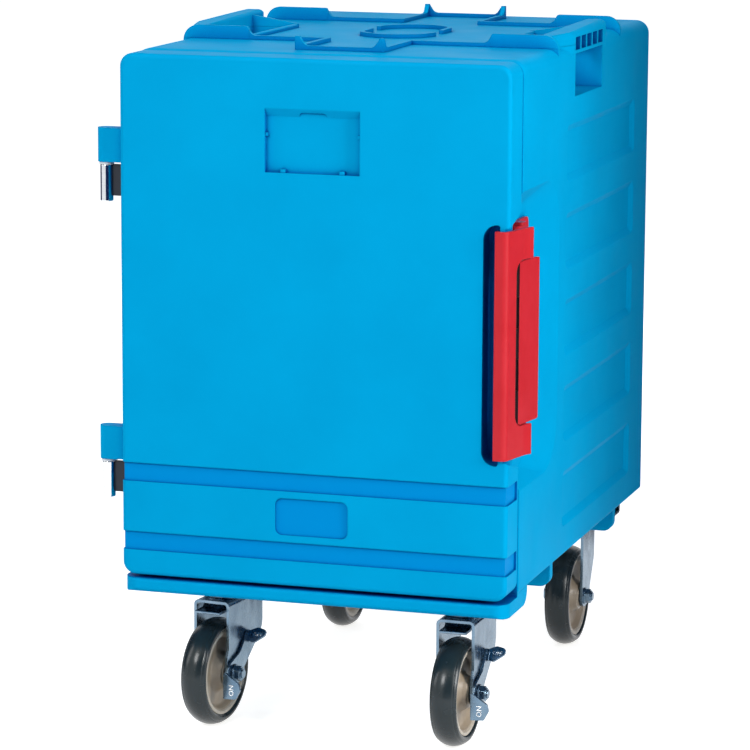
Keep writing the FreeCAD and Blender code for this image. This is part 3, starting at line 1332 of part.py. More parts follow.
def axle(stack):
    """The bolt, nut and sleeve that hold a wheel in its fork."""
    return {"axle_bolt": axle_bolt(stack), "axle_nut": axle_nut(stack), "axle_sleeve": axle_sleeve()}


def front_caster_pieces():
    """Both swivel casters, each piece by itself because each caster turns on its own kingpin."""
    pieces = {}
    race = swivel_race()
    race.translate(Vector(0, FRONT_TRAIL, 0))
    drawn = dict(wheel(), **axle(pedal_stack()), fork=swivel_fork(), swivel_race=race,
                 brake_shoe=brake_shoe(), brake_pedal=brake_pedal())
    for side in SWIVELS:
        for name, shape in drawn.items():
            pieces[name + "_front_" + side] = on_swivel(shape, side)
        pieces["caster_plate_front_" + side] = on_kingpin(swivel_plate(), side)
    pieces["kingpins"] = Part.makeCompound([on_kingpin(kingpin(), side) for side in SWIVELS])
    return pieces


def rear_caster_pieces():
    """Both rigid casters; their bolts, nuts and sleeves don't move and are listed in pairs."""
    ways = {"left": -1, "right": 1}
    pieces = {}
    for name, shape in dict(wheel(), fork=rigid_fork()).items():
        for side, way in ways.items():
            pieces[name + "_rear_" + side] = on_rear(shape, way)
    for name, shape in axle(0).items():
        pieces["rear_" + name + "s"] = Part.makeCompound([on_rear(shape, way) for way in ways.values()])
    return pieces


def main():
    os.makedirs("parts", exist_ok=True)
    pieces = {}
    groups = (cabinet_pieces, hinge_and_door_pieces, latch_pieces, front_caster_pieces, rear_caster_pieces)
    for group in groups:
        pieces.update(group())
    whole = FreeCAD.BoundBox()
    for shape in pieces.values():
        whole.add(shape.optimalBoundingBox(False, False))
    home = Vector(-whole.Center.x, -whole.Center.y, -whole.ZMin)
    print("origin of the drawing stands at", tuple(round(value, 4) for value in home))
    print("overall", round(whole.XLength, 2), round(whole.YLength, 2), round(whole.ZLength, 2))
    for name, shape in pieces.items():
        shape.translate(home)
        shape.exportStep("parts/" + name + ".step")
        state = "valid" if shape.isValid() else "NOT VALID"
        print(name, len(shape.Solids), "solids", round(shape.Volume / 1000, 2), "cm3", state)
    print(len(pieces), "pieces")


main()
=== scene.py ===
# %% [markdown]
# # An insulated food-pan carrier on four casters
#
# The real carrier is a double-walled box of blue polyethylene. Plastic powder is melted onto the
# inside of a hot, slowly turning mould, and foam fills the space between the two walls. A door swings
# on the left, a red draw latch holds it on the right, and four zinc-plated casters carry it.
#
# The measured model is loaded first and never changed. Everything below dresses it: each solid gets
# the finish of its real material, and pieces that need finer forms than a solid has, such as tyres,
# wheel centres, bearing shields and stamped letters, are modelled here and ride on the same moving bodies.

import json
import math

import bmesh
import bpy
from mathutils import Matrix, Vector


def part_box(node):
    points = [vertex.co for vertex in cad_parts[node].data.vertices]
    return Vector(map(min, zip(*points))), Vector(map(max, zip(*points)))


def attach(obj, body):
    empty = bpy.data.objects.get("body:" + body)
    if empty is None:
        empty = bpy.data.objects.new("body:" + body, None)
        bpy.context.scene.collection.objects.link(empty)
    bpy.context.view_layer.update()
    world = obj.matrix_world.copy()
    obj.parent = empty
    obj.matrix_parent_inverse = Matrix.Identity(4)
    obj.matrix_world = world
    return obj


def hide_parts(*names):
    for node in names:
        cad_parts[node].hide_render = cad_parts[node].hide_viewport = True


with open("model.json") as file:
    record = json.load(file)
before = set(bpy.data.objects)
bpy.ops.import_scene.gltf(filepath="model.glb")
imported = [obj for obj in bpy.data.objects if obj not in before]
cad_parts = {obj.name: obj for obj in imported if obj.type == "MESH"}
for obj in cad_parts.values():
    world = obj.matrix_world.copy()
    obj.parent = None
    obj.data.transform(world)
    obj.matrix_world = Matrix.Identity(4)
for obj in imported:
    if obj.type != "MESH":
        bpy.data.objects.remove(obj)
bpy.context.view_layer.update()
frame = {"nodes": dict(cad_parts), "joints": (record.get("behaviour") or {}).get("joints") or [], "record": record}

MM = 0.001

# %% [markdown]
# ## The camera
#
# The photograph was taken with a long lens, a little above the roof and from the front right. Its place
# was worked out once from the corners of the box, so it is written down here as a position, three turns
# and a focal length in pixels. A 36 mm sensor turns those pixels into a lens length.

# %% Camera
PHOTO_SIDE = 750
FOCAL_PIXELS = 3591.4
SENSOR = 36.0
CAMERA_PLACE = Vector((1.25345, -4.10385, 1.1535))
VIEW_YAW, VIEW_PITCH, VIEW_ROLL = 0.3006, 0.1772, 0.0053


def camera_matrix(place, yaw, pitch, roll):
    """Where the camera stands and how it is turned: left by yaw, down by pitch, then rolled."""
    ahead = Vector((-math.sin(yaw) * math.cos(pitch), math.cos(yaw) * math.cos(pitch), -math.sin(pitch)))
    right = Vector((math.cos(yaw), math.sin(yaw), 0))
    up = right.cross(ahead)
    side = right * math.cos(roll) + up * math.sin(roll)
    top = up * math.cos(roll) - right * math.sin(roll)
    turn = Matrix((side, top, -ahead)).transposed().to_4x4()
    return Matrix.Translation(place) @ turn


camera_data = bpy.data.cameras.new("camera")
camera_data.sensor_width = SENSOR
camera_data.lens = FOCAL_PIXELS * SENSOR / PHOTO_SIDE
camera = bpy.data.objects.new("camera", camera_data)
bpy.context.scene.collection.objects.link(camera)
camera.matrix_world = camera_matrix(CAMERA_PLACE, VIEW_YAW, VIEW_PITCH, VIEW_ROLL)
bpy.context.scene.camera = camera
bpy.context.scene.view_settings.view_transform = "Standard"
print("lens", round(camera_data.lens, 1), "mm")

# %% [markdown]
# ## Materials as small node trees
#
# Every finish is a Principled shader with a few nodes in front of it. One helper adds a node, sets it
# and wires it, and another turns the hex colour that a paint chart or a colour picker gives into the
# linear light that Blender reckons with. Patterns are sized in millimetres: a noise whose blobs should
# be 2 mm across gets a scale of one over 0.002 m.

# %% Helpers for materials
def linear(hex_colour):
    """An sRGB hex colour as linear RGBA."""
    channels = [int(hex_colour[i:i + 2], 16) / 255 for i in (1, 3, 5)]
    return (*[c / 12.92 if c <= 0.04045 else ((c + 0.055) / 1.055) ** 2.4 for c in channels], 1.0)


def add(tree, kind, settings=None, links=None):
    """A new node with its settings, and a value or another node's output for each named socket."""
    made = tree.nodes.new(kind)
    for name, value in (settings or {}).items():
        setattr(made, name, value)
    for name, value in (links or {}).items():
        if isinstance(value, bpy.types.NodeSocket):
            tree.links.new(value, made.inputs[name])
        else:
            made.inputs[name].default_value = value
    return made


def new_finish(name, **values):
    """A material with its Principled shader, the tree and coordinates that stay with the piece."""
    material = bpy.data.materials.new(name)
    material.use_nodes = True
    tree = material.node_tree
    tree.nodes.clear()
    sockets = {key.replace("_", " "): value for key, value in values.items()}
    shader = add(tree, "ShaderNodeBsdfPrincipled", links=sockets)
    add(tree, "ShaderNodeOutputMaterial", links={"Surface": shader.outputs[0]})
    place = add(tree, "ShaderNodeTexCoord").outputs["Object"]
    return material, tree, shader, place


NOISE_LOW, NOISE_HIGH = 0.3, 0.7


def mottle(tree, place, size_mm, first, second, stretch=(1, 1, 1)):
    """A colour that drifts between two hex colours in patches of about the given size."""
    scaled = add(tree, "ShaderNodeVectorMath", {"operation": "MULTIPLY"}, {0: place, 1: stretch})
    patches = add(tree, "ShaderNodeTexNoise", links={"Vector": scaled.outputs[0], "Scale": 1 / (size_mm * MM),
                                                     "Detail": 3.0})
    share = add(tree, "ShaderNodeMapRange", links={"Value": patches.outputs[0], "From Min": NOISE_LOW,
                                                   "From Max": NOISE_HIGH})
    made = add(tree, "ShaderNodeMix", {"data_type": "RGBA"}, {0: share.outputs[0]})
    made.inputs[6].default_value = linear(first)
    made.inputs[7].default_value = linear(second)
    return made.outputs[2]


def uneven_shine(tree, place, shader, size_mm, low, high, stretch=(1, 1, 1)):
    """Roughness that wanders between two values, as a handled or moulded surface does."""
    scaled = add(tree, "ShaderNodeVectorMath", {"operation": "MULTIPLY"}, {0: place, 1: stretch})
    patches = add(tree, "ShaderNodeTexNoise", links={"Vector": scaled.outputs[0],
                                                     "Scale": 1 / (size_mm * MM)})
    rough = add(tree, "ShaderNodeMapRange", links={"Value": patches.outputs[0], "From Min": NOISE_LOW,
                                                   "From Max": NOISE_HIGH, "To Min": low, "To Max": high})
    tree.links.new(rough.outputs[0], shader.inputs["Roughness"])


def relief(tree, place, shader, edge_mm, layers, stretch=(1, 1, 1)):
    """Rounded light over the edges, then a bump for each (grain size, depth, strength) layer."""
    normal = add(tree, "ShaderNodeBevel", {"samples": 4}, {"Radius": edge_mm * MM}).outputs[0]
    scaled = add(tree, "ShaderNodeVectorMath", {"operation": "MULTIPLY"}, {0: place, 1: stretch})
    for grain_mm, depth_mm, strength in layers:
        grain = add(tree, "ShaderNodeTexNoise", links={"Vector": scaled.outputs[0],
                                                       "Scale": 1 / (grain_mm * MM)})
        normal = add(tree, "ShaderNodeBump", links={"Strength": strength, "Distance": depth_mm * MM,
                                                    "Height": grain.outputs[0], "Normal": normal}).outputs[0]
    tree.links.new(normal, shader.inputs["Normal"])


print("a mid grey renders from", [round(value, 3) for value in linear("#808080")[:3]])

# %% [markdown]
# ## Blue polyethylene, rotationally moulded
#
# Rotomoulded polyethylene has no crisp edge anywhere, because the melted powder flows off sharp corners.
# Its skin copies the sand-blasted mould, so it is satin, with a fine grain of about a millimetre, and
# the wall is slightly uneven over a hand's width as it shrinks from the mould. The Bevel node rounds the
# light over every edge without touching the mesh. Tight recesses, such as the hand holds and the latch's
# pocket, get painted shade: the deeper blue that light bouncing from blue wall to blue wall leaves there is
# mixed into the colour where the Ambient Occlusion node, which gives 1 on an open face, finds faces close by.

# %% Polyethylene
POLYETHYLENE = ("#00A2D4", "#00A8DA")
SMOOTH_POLYETHYLENE = "#0093D6"
# Painted shade: the deeper blue of tight recesses.
PAINTED_RECESS_SHADE = "#004F9E"
SHRINKAGE_MM = 110
SHINE_PATCH_MM = 60
SKIN_SHINE = (0.42, 0.52)
SKIN_SPECULAR = 0.012
RECESS_SHADE_REACH_MM = 45
RECESS_SHADE_TIGHT, RECESS_SHADE_OPEN = 0.3, 0.85
MELTED_EDGE_MM = 2.0
SANDED_GRAIN = (0.9, 0.10, 0.3)
WALL_WAVES = (55, 0.7, 0.5)


def coloured_fields(tree, place, colour, fields, field_hex):
    """The colour, changed to another inside each (centre, half size) box of the piece."""
    for centre, half in fields:
        away = add(tree, "ShaderNodeVectorMath", {"operation": "SUBTRACT"}, {0: place, 1: centre})
        share = add(tree, "ShaderNodeVectorMath", {"operation": "DIVIDE"}, {0: away.outputs[0], 1: half})
        size = add(tree, "ShaderNodeVectorMath", {"operation": "ABSOLUTE"}, {0: share.outputs[0]})
        parts = add(tree, "ShaderNodeSeparateXYZ", links={0: size.outputs[0]}).outputs
        widest = add(tree, "ShaderNodeMath", {"operation": "MAXIMUM"}, {0: parts[0], 1: parts[1]})
        widest = add(tree, "ShaderNodeMath", {"operation": "MAXIMUM"}, {0: widest.outputs[0], 1: parts[2]})
        inside = add(tree, "ShaderNodeMath", {"operation": "LESS_THAN"}, {0: widest.outputs[0], 1: 1.0})
        made = add(tree, "ShaderNodeMix", {"data_type": "RGBA"}, {0: inside.outputs[0], 6: colour})
        made.inputs[7].default_value = linear(field_hex)
        colour = made.outputs[2]
    return colour


def polyethylene(name, smooth_fields=()):
    """The carrier's moulded plastic; deeper in colour in the smooth fields, with painted shade in tight recesses.
    """
    material, tree, shader, place = new_finish(name, Specular_IOR_Level=SKIN_SPECULAR)
    colour = mottle(tree, place, SHRINKAGE_MM, *POLYETHYLENE)
    colour = coloured_fields(tree, place, colour, smooth_fields, SMOOTH_POLYETHYLENE)
    # Painted shade: a deeper blue mixed in where faces stand close, in the hand holds, the latch's pocket and
    # other recesses.
    openness = add(tree, "ShaderNodeAmbientOcclusion", {"samples": 6}, {"Distance": RECESS_SHADE_REACH_MM * MM})
    share = add(tree, "ShaderNodeMapRange", links={"Value": openness.outputs["AO"], "From Min": RECESS_SHADE_TIGHT,
                                                   "From Max": RECESS_SHADE_OPEN})
    made = add(tree, "ShaderNodeMix", {"data_type": "RGBA"}, {0: share.outputs[0], 7: colour})
    made.inputs[6].default_value = linear(PAINTED_RECESS_SHADE)
    tree.links.new(made.outputs[2], shader.inputs["Base Color"])
    uneven_shine(tree, place, shader, SHINE_PATCH_MM, *SKIN_SHINE)
    relief(tree, place, shader, MELTED_EDGE_MM, (SANDED_GRAIN, WALL_WAVES))
    return material


cabinet_plastic = polyethylene("rotomoulded_polyethylene")
print("finish", cabinet_plastic.name, "with grain of", SANDED_GRAIN[0], "mm")

# %% [markdown]
# ## The door's polished bands
#
# Two bands run round the door, and a small panel lies between them. Their strips of the mould are
# polished, so the plastic is smoother there and looks deeper in colour. Paint or a decal would be a wrong
# way to show this, because the colour goes with the surface. The door's own version of the finish mixes
# the deeper blue in wherever a point of the door lies inside one of three boxes, which are given as heights
# above the door's lower edge. The boxes end inside the door's edge, so that its inner face stays plain.

# %% Bands on the door
BAND_DEPTH_MM = 44
BAND_HALF_WIDTH_MM = 260
PANEL_DEPTH_MM = 5.2
PANEL_HALF_WIDTH_MM = 42.9


def levels(low_mm, high_mm, half_width_mm, deep_mm):
    """The box, in the door, between two heights above its lower edge, from the front to a depth."""
    low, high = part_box("door_shell")
    centre = Vector(((low.x + high.x) / 2, low.y + deep_mm / 2 * MM, low.z + (low_mm + high_mm) / 2 * MM))
    return centre, Vector((half_width_mm, deep_mm / 2, (high_mm - low_mm) / 2)) * MM


SMOOTH_FIELDS = [
    levels(29.5, 51.0, BAND_HALF_WIDTH_MM, BAND_DEPTH_MM),
    levels(110.0, 131.5, BAND_HALF_WIDTH_MM, BAND_DEPTH_MM),
    levels(59.4, 101.7, PANEL_HALF_WIDTH_MM, PANEL_DEPTH_MM),
]
door_plastic = polyethylene("rotomoulded_polyethylene_banded", SMOOTH_FIELDS)
print("smooth fields in the door:", len(SMOOTH_FIELDS))

# %% [markdown]
# ## The other plastics and rubbers
#
# The latch is injection-moulded nylon, coloured red right through: smoother than the box, with long soft
# highlights. Tyres are cast polyurethane, nearly black and glossy as new. Wheel centres are glass-filled
# polypropylene, beige with a slightly streaky flow, and paler on the lip beside the tyre. The seal
# is matte black rubber, the hinge's washers are white nylon, and the foam is hidden between the walls. All
# of them are one kind of surface with other numbers, so one helper makes them. The grain of each is finer
# than a pixel of the photograph, and is drawn as coarse as it needs to be to break up a highlight.

# %% Plastics and rubbers
# Painted shade: black for the dark gap between the latch's hook and lever.
PAINTED_SHADE_BLACK = "#14060A"


def moulded(name, colours, patch_mm, rough, grain_mm, grain_depth_mm, edge_mm, specular, painted_shade=()):
    """A moulded or cast finish: two near colours in patches, a grain and softened edges."""
    material, tree, shader, place = new_finish(name, Specular_IOR_Level=specular)
    # Painted shade: black inside each given box.
    colour = coloured_fields(tree, place, mottle(tree, place, patch_mm, *colours), painted_shade, PAINTED_SHADE_BLACK)
    tree.links.new(colour, shader.inputs["Base Color"])
    uneven_shine(tree, place, shader, patch_mm / 3, rough - 0.04, rough + 0.05)
    relief(tree, place, shader, edge_mm, ((grain_mm, grain_depth_mm, 0.5),))
    return material


RED_NYLON = dict(colours=("#C8252C", "#CF2C34"), patch_mm=40, rough=0.36, grain_mm=1.2, grain_depth_mm=0.04,
                 edge_mm=1.2, specular=0.17)
red_nylon = moulded("injection_moulded_red_nylon", **RED_NYLON)
polyurethane = moulded("cast_polyurethane_tyre", ("#202A2B", "#262F31"), patch_mm=40, rough=0.24,
                       grain_mm=6.0, grain_depth_mm=0.03, edge_mm=0.6, specular=0.35)
wheel_plastic = moulded("glass_filled_polypropylene", ("#A8967E", "#B3A28B"), patch_mm=14, rough=0.36,
                        grain_mm=0.8, grain_depth_mm=0.04, edge_mm=0.6, specular=0.5)
rim_plastic = moulded("paler_polypropylene_lip", ("#C9BCA8", "#D3C7B4"), patch_mm=6, rough=0.45,
                      grain_mm=0.6, grain_depth_mm=0.04, edge_mm=0.4, specular=0.4)
seal_rubber = moulded("moulded_seal_rubber", ("#1D1E20", "#26282A"), patch_mm=12, rough=0.62, grain_mm=0.8,
                      grain_depth_mm=0.05, edge_mm=0.5, specular=0.3)
white_nylon = moulded("turned_white_nylon", ("#E4E5E2", "#EEEFEC"), patch_mm=6, rough=0.45, grain_mm=0.6,
                      grain_depth_mm=0.02, edge_mm=0.4, specular=0.4)
foam = moulded("poured_polyurethane_foam", ("#DCC99B", "#CDB784"), patch_mm=4, rough=0.85, grain_mm=1.5,
               grain_depth_mm=0.4, edge_mm=1.0, specular=0.2)
print("plastics", red_nylon.name, polyurethane.name, wheel_plastic.name)

# %% [markdown]
# ## Painted shade in the latch's gap
#
# The lever and its base turn on one pin, and their knuckles lie in shade where they face the hook's
# opening. That dark line between hook and lever is painted shade: the same red finish is made a second
# time, with black inside one box that covers the knuckles' front.

# %% Painted shade on the knuckles
GAP_SHADE_STRIP_MM = (12.5, 3.0)
STRIP_MARGIN_MM = 2


def gap_shade_box():
    """The box of painted shade over the lever's and base's knuckles, beside the hook."""
    low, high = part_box("latch_lever")
    far = Vector((low.x + GAP_SHADE_STRIP_MM[0] * MM, low.y + GAP_SHADE_STRIP_MM[1] * MM, high.z))
    margin = Vector((STRIP_MARGIN_MM, STRIP_MARGIN_MM, STRIP_MARGIN_MM)) * MM
    return (low + far) / 2, (far - low) / 2 + margin


gap_shaded_nylon = moulded("red_nylon_with_painted_gap_shade", **RED_NYLON, painted_shade=[gap_shade_box()])
print("greased strip", [round(value, 4) for value in gap_shade_box()[0]])

# %% [markdown]
# ## The metals
#
# Zinc plating with a blue passivation gives pressed steel a cool, slightly milky shine with faint
# streaks from the bath, a few millimetres wide and longer than they are wide. The hinge barrels are
# polished stainless steel, so they mirror the room with only a trace of turning marks. The hinge plates
# are steel under near-black powder paint, which is a moulded finish and not a bare metal.

# %% Metals
def bare_metal(name, colours, rough, patch_mm, scratch_mm, depth_mm, edge_mm, stretch):
    """A metal with streaks in its colour and shine."""
    material, tree, shader, place = new_finish(name, Metallic=1.0)
    tree.links.new(mottle(tree, place, patch_mm, *colours, stretch), shader.inputs["Base Color"])
    uneven_shine(tree, place, shader, patch_mm / 2, rough * 0.8, rough * 1.3, stretch)
    relief(tree, place, shader, edge_mm, ((scratch_mm, depth_mm, 0.4),), stretch)
    return material


zinc = bare_metal("blue_passivated_zinc_on_steel", ("#60778A", "#8499A9"), rough=0.25, patch_mm=16,
                  scratch_mm=3.0, depth_mm=0.02, edge_mm=0.8, stretch=(1, 1, 0.6))
stainless = bare_metal("polished_stainless_steel", ("#D2D5D7", "#DFE1E2"), rough=0.09, patch_mm=8,
                       scratch_mm=0.5, depth_mm=0.01, edge_mm=0.5, stretch=(1, 1, 6))
black_steel = moulded("black_powder_coated_steel", ("#0D141F", "#121A27"), patch_mm=10, rough=0.40,
                      grain_mm=0.7, grain_depth_mm=0.06, edge_mm=0.8, specular=0.4)
print("metals", zinc.name, stainless.name, black_steel.name)

# %% [markdown]
# ## Dressing the solids
#
# Each solid in the record names a material slot. The table below says which finish belongs to which slot.
# Three solids get a version of their own: the door with its bands, and the lever and its base with the
# painted shade over their knuckles.

# %% Give every solid its finish
FINISHES = {
    "blue_polyethylene": cabinet_plastic,
    "insulating_foam": foam,
    "gasket_rubber": seal_rubber,
    "tyre_rubber": polyurethane,
    "wheel_core_plastic": wheel_plastic,
    "red_nylon": red_nylon,
    "polished_steel": stainless,
    "dark_hinge_steel": black_steel,
    "white_nylon": white_nylon,
    "zinc_plated_steel": zinc,
}
SLOT_OF = {part["node"]: part["material_slot"] for part in frame["record"]["subparts"]}
SPECIAL = {"door_shell": door_plastic, "latch_lever": gap_shaded_nylon, "latch_base": gap_shaded_nylon}
for node_name, solid in frame["nodes"].items():
    finish = SPECIAL.get(node_name, FINISHES[SLOT_OF[node_name]])
    for holder in solid.material_slots:
        holder.material = finish
print("dressed", len(frame["nodes"]), "solids")

# %% [markdown]
# ## Round pieces from an outline
#
# A tyre, a wheel centre or a bearing's shield is a turned form: one outline, swept round an axis. The
# first helper rounds each corner of the outline by its own radius, because real moulded and turned parts
# have no dead sharp corners. Another makes rings of vertices from the outline in mesh code.

# %% Rounded outlines
STRAIGHT_CORNER = math.radians(89)


def rounded_outline(corners, steps):
    """Points along a closed outline whose (u, v, radius) corners are rounded."""
    points = []
    count = len(corners)
    for index, (u, v, radius) in enumerate(corners):
        here = Vector((u, v))
        if radius == 0:
            points.append(here)
            continue
        back = (Vector(corners[index - 1][:2]) - here).normalized()
        ahead = (Vector(corners[(index + 1) % count][:2]) - here).normalized()
        half = back.angle(ahead) / 2
        if half > STRAIGHT_CORNER:
            points.append(here)
            continue
        reach = radius / math.tan(half)
        centre = here + (back + ahead).normalized() * (radius / math.sin(half))
        start, end = here + back * reach - centre, here + ahead * reach - centre
        sweep = start.angle_signed(end)
        for step in range(steps + 1):
            points.append(centre + Matrix.Rotation(-sweep * step / steps, 2) @ start)
    return points


square = rounded_outline([(0, 0, 1), (9, 0, 1), (9, 9, 1), (0, 9, 1)], 4)
print("a square with round corners has", len(square), "points")

# %% Pieces from a mesh, and turned meshes
WELD_METRES = 1e-6


def finished_piece(name, mesh, material, body, crease=38):
    """Link a mesh as a piece, shade it smooth up to the crease angle, and let it ride on its body."""
    mesh.materials.append(material)
    for polygon in mesh.polygons:
        polygon.use_smooth = True
    mesh.set_sharp_from_angle(angle=math.radians(crease))
    piece = bpy.data.objects.new(name, mesh)
    bpy.context.scene.collection.objects.link(piece)
    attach(piece, body)
    return piece


def turned_mesh(name, outline, matrix, around):
    """The closed (radius, along) outline in millimetres, swept round the matrix's X axis."""
    form = bmesh.new()
    rings = []
    for index in range(around):
        angle = 2 * math.pi * index / around
        rings.append([form.verts.new(matrix @ Vector((along * MM, radius * MM * math.cos(angle),
                                                      radius * MM * math.sin(angle))))
                      for radius, along in outline])
    for index, ring in enumerate(rings):
        following = rings[(index + 1) % around]
        for corner in range(len(outline)):
            other = (corner + 1) % len(outline)
            form.faces.new((ring[corner], ring[other], following[other], following[corner]))
    bmesh.ops.remove_doubles(form, verts=form.verts, dist=WELD_METRES)
    bmesh.ops.recalc_face_normals(form, faces=form.faces)
    mesh = bpy.data.meshes.new(name)
    form.to_mesh(mesh)
    form.free()
    return mesh


# %% [markdown]
# ## Where each wheel stands
#
# A wheel's spin joint gives its centre and the direction of its axle. Together they make a small frame of
# reference: X along the axle, Z up, and Y to the back, in which a wheel or a pedal can be drawn once.

# %% Wheel places
WHEELS = ("front_left", "front_right", "rear_left", "rear_right")
JOINTS = {joint["name"]: joint for joint in frame["joints"]}


def axle_matrix(where):
    """The wheel's frame of reference: X along its axle, Z up, and its origin in its middle."""
    joint = JOINTS["spin_" + where]
    along = Vector(joint["axis"]).normalized()
    up = Vector((0, 0, 1))
    turn = Matrix((along, up.cross(along), up)).transposed().to_4x4()
    return Matrix.Translation(Vector(joint["pos_m"])) @ turn


AXLES = {where: axle_matrix(where) for where in WHEELS}
for where, matrix in AXLES.items():
    print(where, "axle at", [round(value, 4) for value in matrix.translation])

# %% [markdown]
# ## Tyres
#
# The tyre is cast round the wheel centre. Its tread is crowned, so that it touches the floor on a narrow
# strip, and a shallow crease marks where the tread ends and the sidewall rolls in to the rim. The outline
# follows the solid's crown, because the tyre must still stand on the floor.

# %% Tyres
TREAD_RADIUS = 63.5
CROWN_CURVE = 21.79
CORNER_STEPS = 4
TYRE_FACETS = 128


def crown(along):
    """The tread's radius at a distance from the middle of the tyre."""
    return TREAD_RADIUS - CROWN_CURVE + math.sqrt(CROWN_CURVE ** 2 - along ** 2)


def tyre_outline():
    """One half from rim to crease in (radius, along, rounding), the crown's points, and the mirror."""
    right = [(50.45, 13.7, 0), (52.0, 15.0, 0.8), (54.2, 15.9, 2.0), (crown(15.6), 15.6, 1.6),
             (crown(13.4), 13.4, 0.9), (crown(12.6) - 0.55, 12.6, 0.5), (crown(11.8), 11.8, 1.2)]
    tread = [(crown(along), along, 0) for along in range(10, -11, -2)]
    left = [(radius, -along, corner) for radius, along, corner in reversed(right)]
    return rounded_outline(right + tread + left, CORNER_STEPS)


for where in WHEELS:
    mesh = turned_mesh("tyre_dress_" + where, tyre_outline(), AXLES[where], TYRE_FACETS)
    tyre = finished_piece("cast_tyre_" + where, mesh, polyurethane, "wheel_" + where)
    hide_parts("tyre_" + where)
print("tyres with", len(tyre_outline()), "points in their outline")

# %% [markdown]
# ## Wheel centres
#
# The moulded centre has a pale flat lip beside the tyre, a bead inside it, a deep dish and a hub with a
# raised ring. The dish is what catches the light in the photograph, so its fillets are kept large. The
# faces outside the bead get the paler finish. A dark sheet
# steel shield closes the bearing on both sides of the hub.

# %% Wheel centres
CORE_FACETS = 96
SHIELD_FACETS = 64
LIP_RADIUS_MM = 45.8
BEARING_BORE, BEARING_RIM = 9.0, 13.2
SHIELD_INSIDE, SHIELD_STEP, SHIELD_FACE = 17.9, 18.5, 18.7


def core_outline():
    """One half from the lip to the hub's bore in (radius, along, rounding), and its mirror."""
    right = [(50.35, 13.6, 0.4), (49.9, 14.0, 0.3), (46.6, 14.0, 0.8), (45.4, 11.6, 0.6), (44.0, 11.2, 0.8),
             (41.0, 5.6, 4.5), (24.0, 5.0, 6.0), (19.5, 12.0, 2.5), (17.6, 16.2, 0.8), (15.0, 16.6, 0.5),
             (14.4, 18.0, 0.6), (8.06, 18.0, 0)]
    left = [(radius, -along, corner) for radius, along, corner in reversed(right)]
    return rounded_outline(right + left, CORNER_STEPS)


def shield_outline(side):
    """A thin ring with a chamfered rim, on one side of the hub."""
    return [(BEARING_BORE, side * SHIELD_INSIDE), (BEARING_RIM, side * SHIELD_INSIDE),
            (BEARING_RIM, side * SHIELD_STEP), (BEARING_RIM - 0.8, side * SHIELD_FACE),
            (BEARING_BORE, side * SHIELD_FACE)]


for where in WHEELS:
    mesh = turned_mesh("core_dress_" + where, core_outline(), AXLES[where], CORE_FACETS)
    core = finished_piece("moulded_wheel_centre_" + where, mesh, wheel_plastic, "wheel_" + where)
    mesh.materials.append(rim_plastic)
    for polygon in mesh.polygons:
        from_axle = AXLES[where].inverted() @ polygon.center
        if math.hypot(from_axle.y, from_axle.z) > LIP_RADIUS_MM * MM:
            polygon.material_index = 1
    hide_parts("wheel_core_" + where)
    for side in (-1, 1):
        name = "bearing_shield_" + where + ("_left" if side < 0 else "_right")
        shield = turned_mesh(name, shield_outline(side), AXLES[where], SHIELD_FACETS)
        finished_piece(name, shield, black_steel, "wheel_" + where)
print("wheel centres for", len(WHEELS), "wheels")

# %% [markdown]
# ## Stamped words on the brake pedals
#
# Each front caster's pedal has a tab to press with a toe, stamped ON, and a release tab stamped OFF. The
# words are set from Blender's own font, given a little depth, turned to lie on the tab's face and sunk so
# that only a third of a millimetre stands proud. ON reads from the bottom up, as in the photograph.

# %% ON and OFF
FONT_SIZE_PER_HEIGHT = 1.4
LETTER_DEPTH_MM = 0.7
LETTER_EDGE_MM = 0.12


def stamped_word(name, words, height_mm, face, body):
    """A word as a raised mesh whose X runs along the text and Z out of the given face matrix."""
    curve = bpy.data.curves.new(name, "FONT")
    curve.body = words
    curve.align_x = "CENTER"
    curve.align_y = "CENTER"
    curve.size = height_mm * MM * FONT_SIZE_PER_HEIGHT
    curve.extrude = LETTER_DEPTH_MM * MM
    curve.bevel_depth = LETTER_EDGE_MM * MM
    curve.resolution_u = 3
    holder = bpy.data.objects.new(name + "_curve", curve)
    bpy.context.scene.collection.objects.link(holder)
    bpy.context.view_layer.update()
    mesh = bpy.data.meshes.new_from_object(holder.evaluated_get(bpy.context.evaluated_depsgraph_get()))
    bpy.data.objects.remove(holder)
    mesh.transform(face)
    mesh.name = name
    # The stamped zinc letters take the brighter polished stainless finish: a painted highlight.
    return finished_piece(name, mesh, stainless, body, 30)


PEDAL_INNER_MM = 23.5
TAB_TIP_MM = 45.5
ON_PLACE_MM = Vector(((PEDAL_INNER_MM + TAB_TIP_MM) / 2, -25.0, -14.5))
OFF_PLACE_MM = Vector(((PEDAL_INNER_MM + TAB_TIP_MM) / 2 + 1.5, 40.9, 37.8))
ON_HEIGHT_MM = 6.0
OFF_HEIGHT_MM = 4.6
REAR_TAB_LEAN = math.radians(28)


def face_matrix(along, up):
    """A turn whose X runs along the text, Y to the letters' tops and Z out of the face."""
    return Matrix((along, up, along.cross(up))).transposed().to_4x4()


ON_TURN = face_matrix(Vector((0, 0, 1)), Vector((-1, 0, 0)))
OFF_TURN = face_matrix(Vector((1, 0, 0)), Vector((0, math.sin(REAR_TAB_LEAN), math.cos(REAR_TAB_LEAN))))
for side in ("left", "right"):
    axle = AXLES["front_" + side]
    on_place = axle @ Matrix.Translation(ON_PLACE_MM * MM) @ ON_TURN
    off_place = axle @ Matrix.Translation(OFF_PLACE_MM * MM) @ OFF_TURN
    stamped_word("stamped_on_" + side, "ON", ON_HEIGHT_MM, on_place, "pedal_" + side)
    stamped_word("stamped_off_" + side, "OFF", OFF_HEIGHT_MM, off_place, "pedal_" + side)
print("words on both pedals")

# %% [markdown]
# ## Floor and light
#
# A white floor and large soft lamps, as in a catalogue studio. The background is white because the camera
# and mirror-like surfaces see the world and the floor at full strength, not because the object gets more
# light: the Light Path node tells these rays from light that only bounces on. The floor glows a little
# less near the carrier, so that its soft shadow stays, and more towards the horizon, which no lamp reaches.

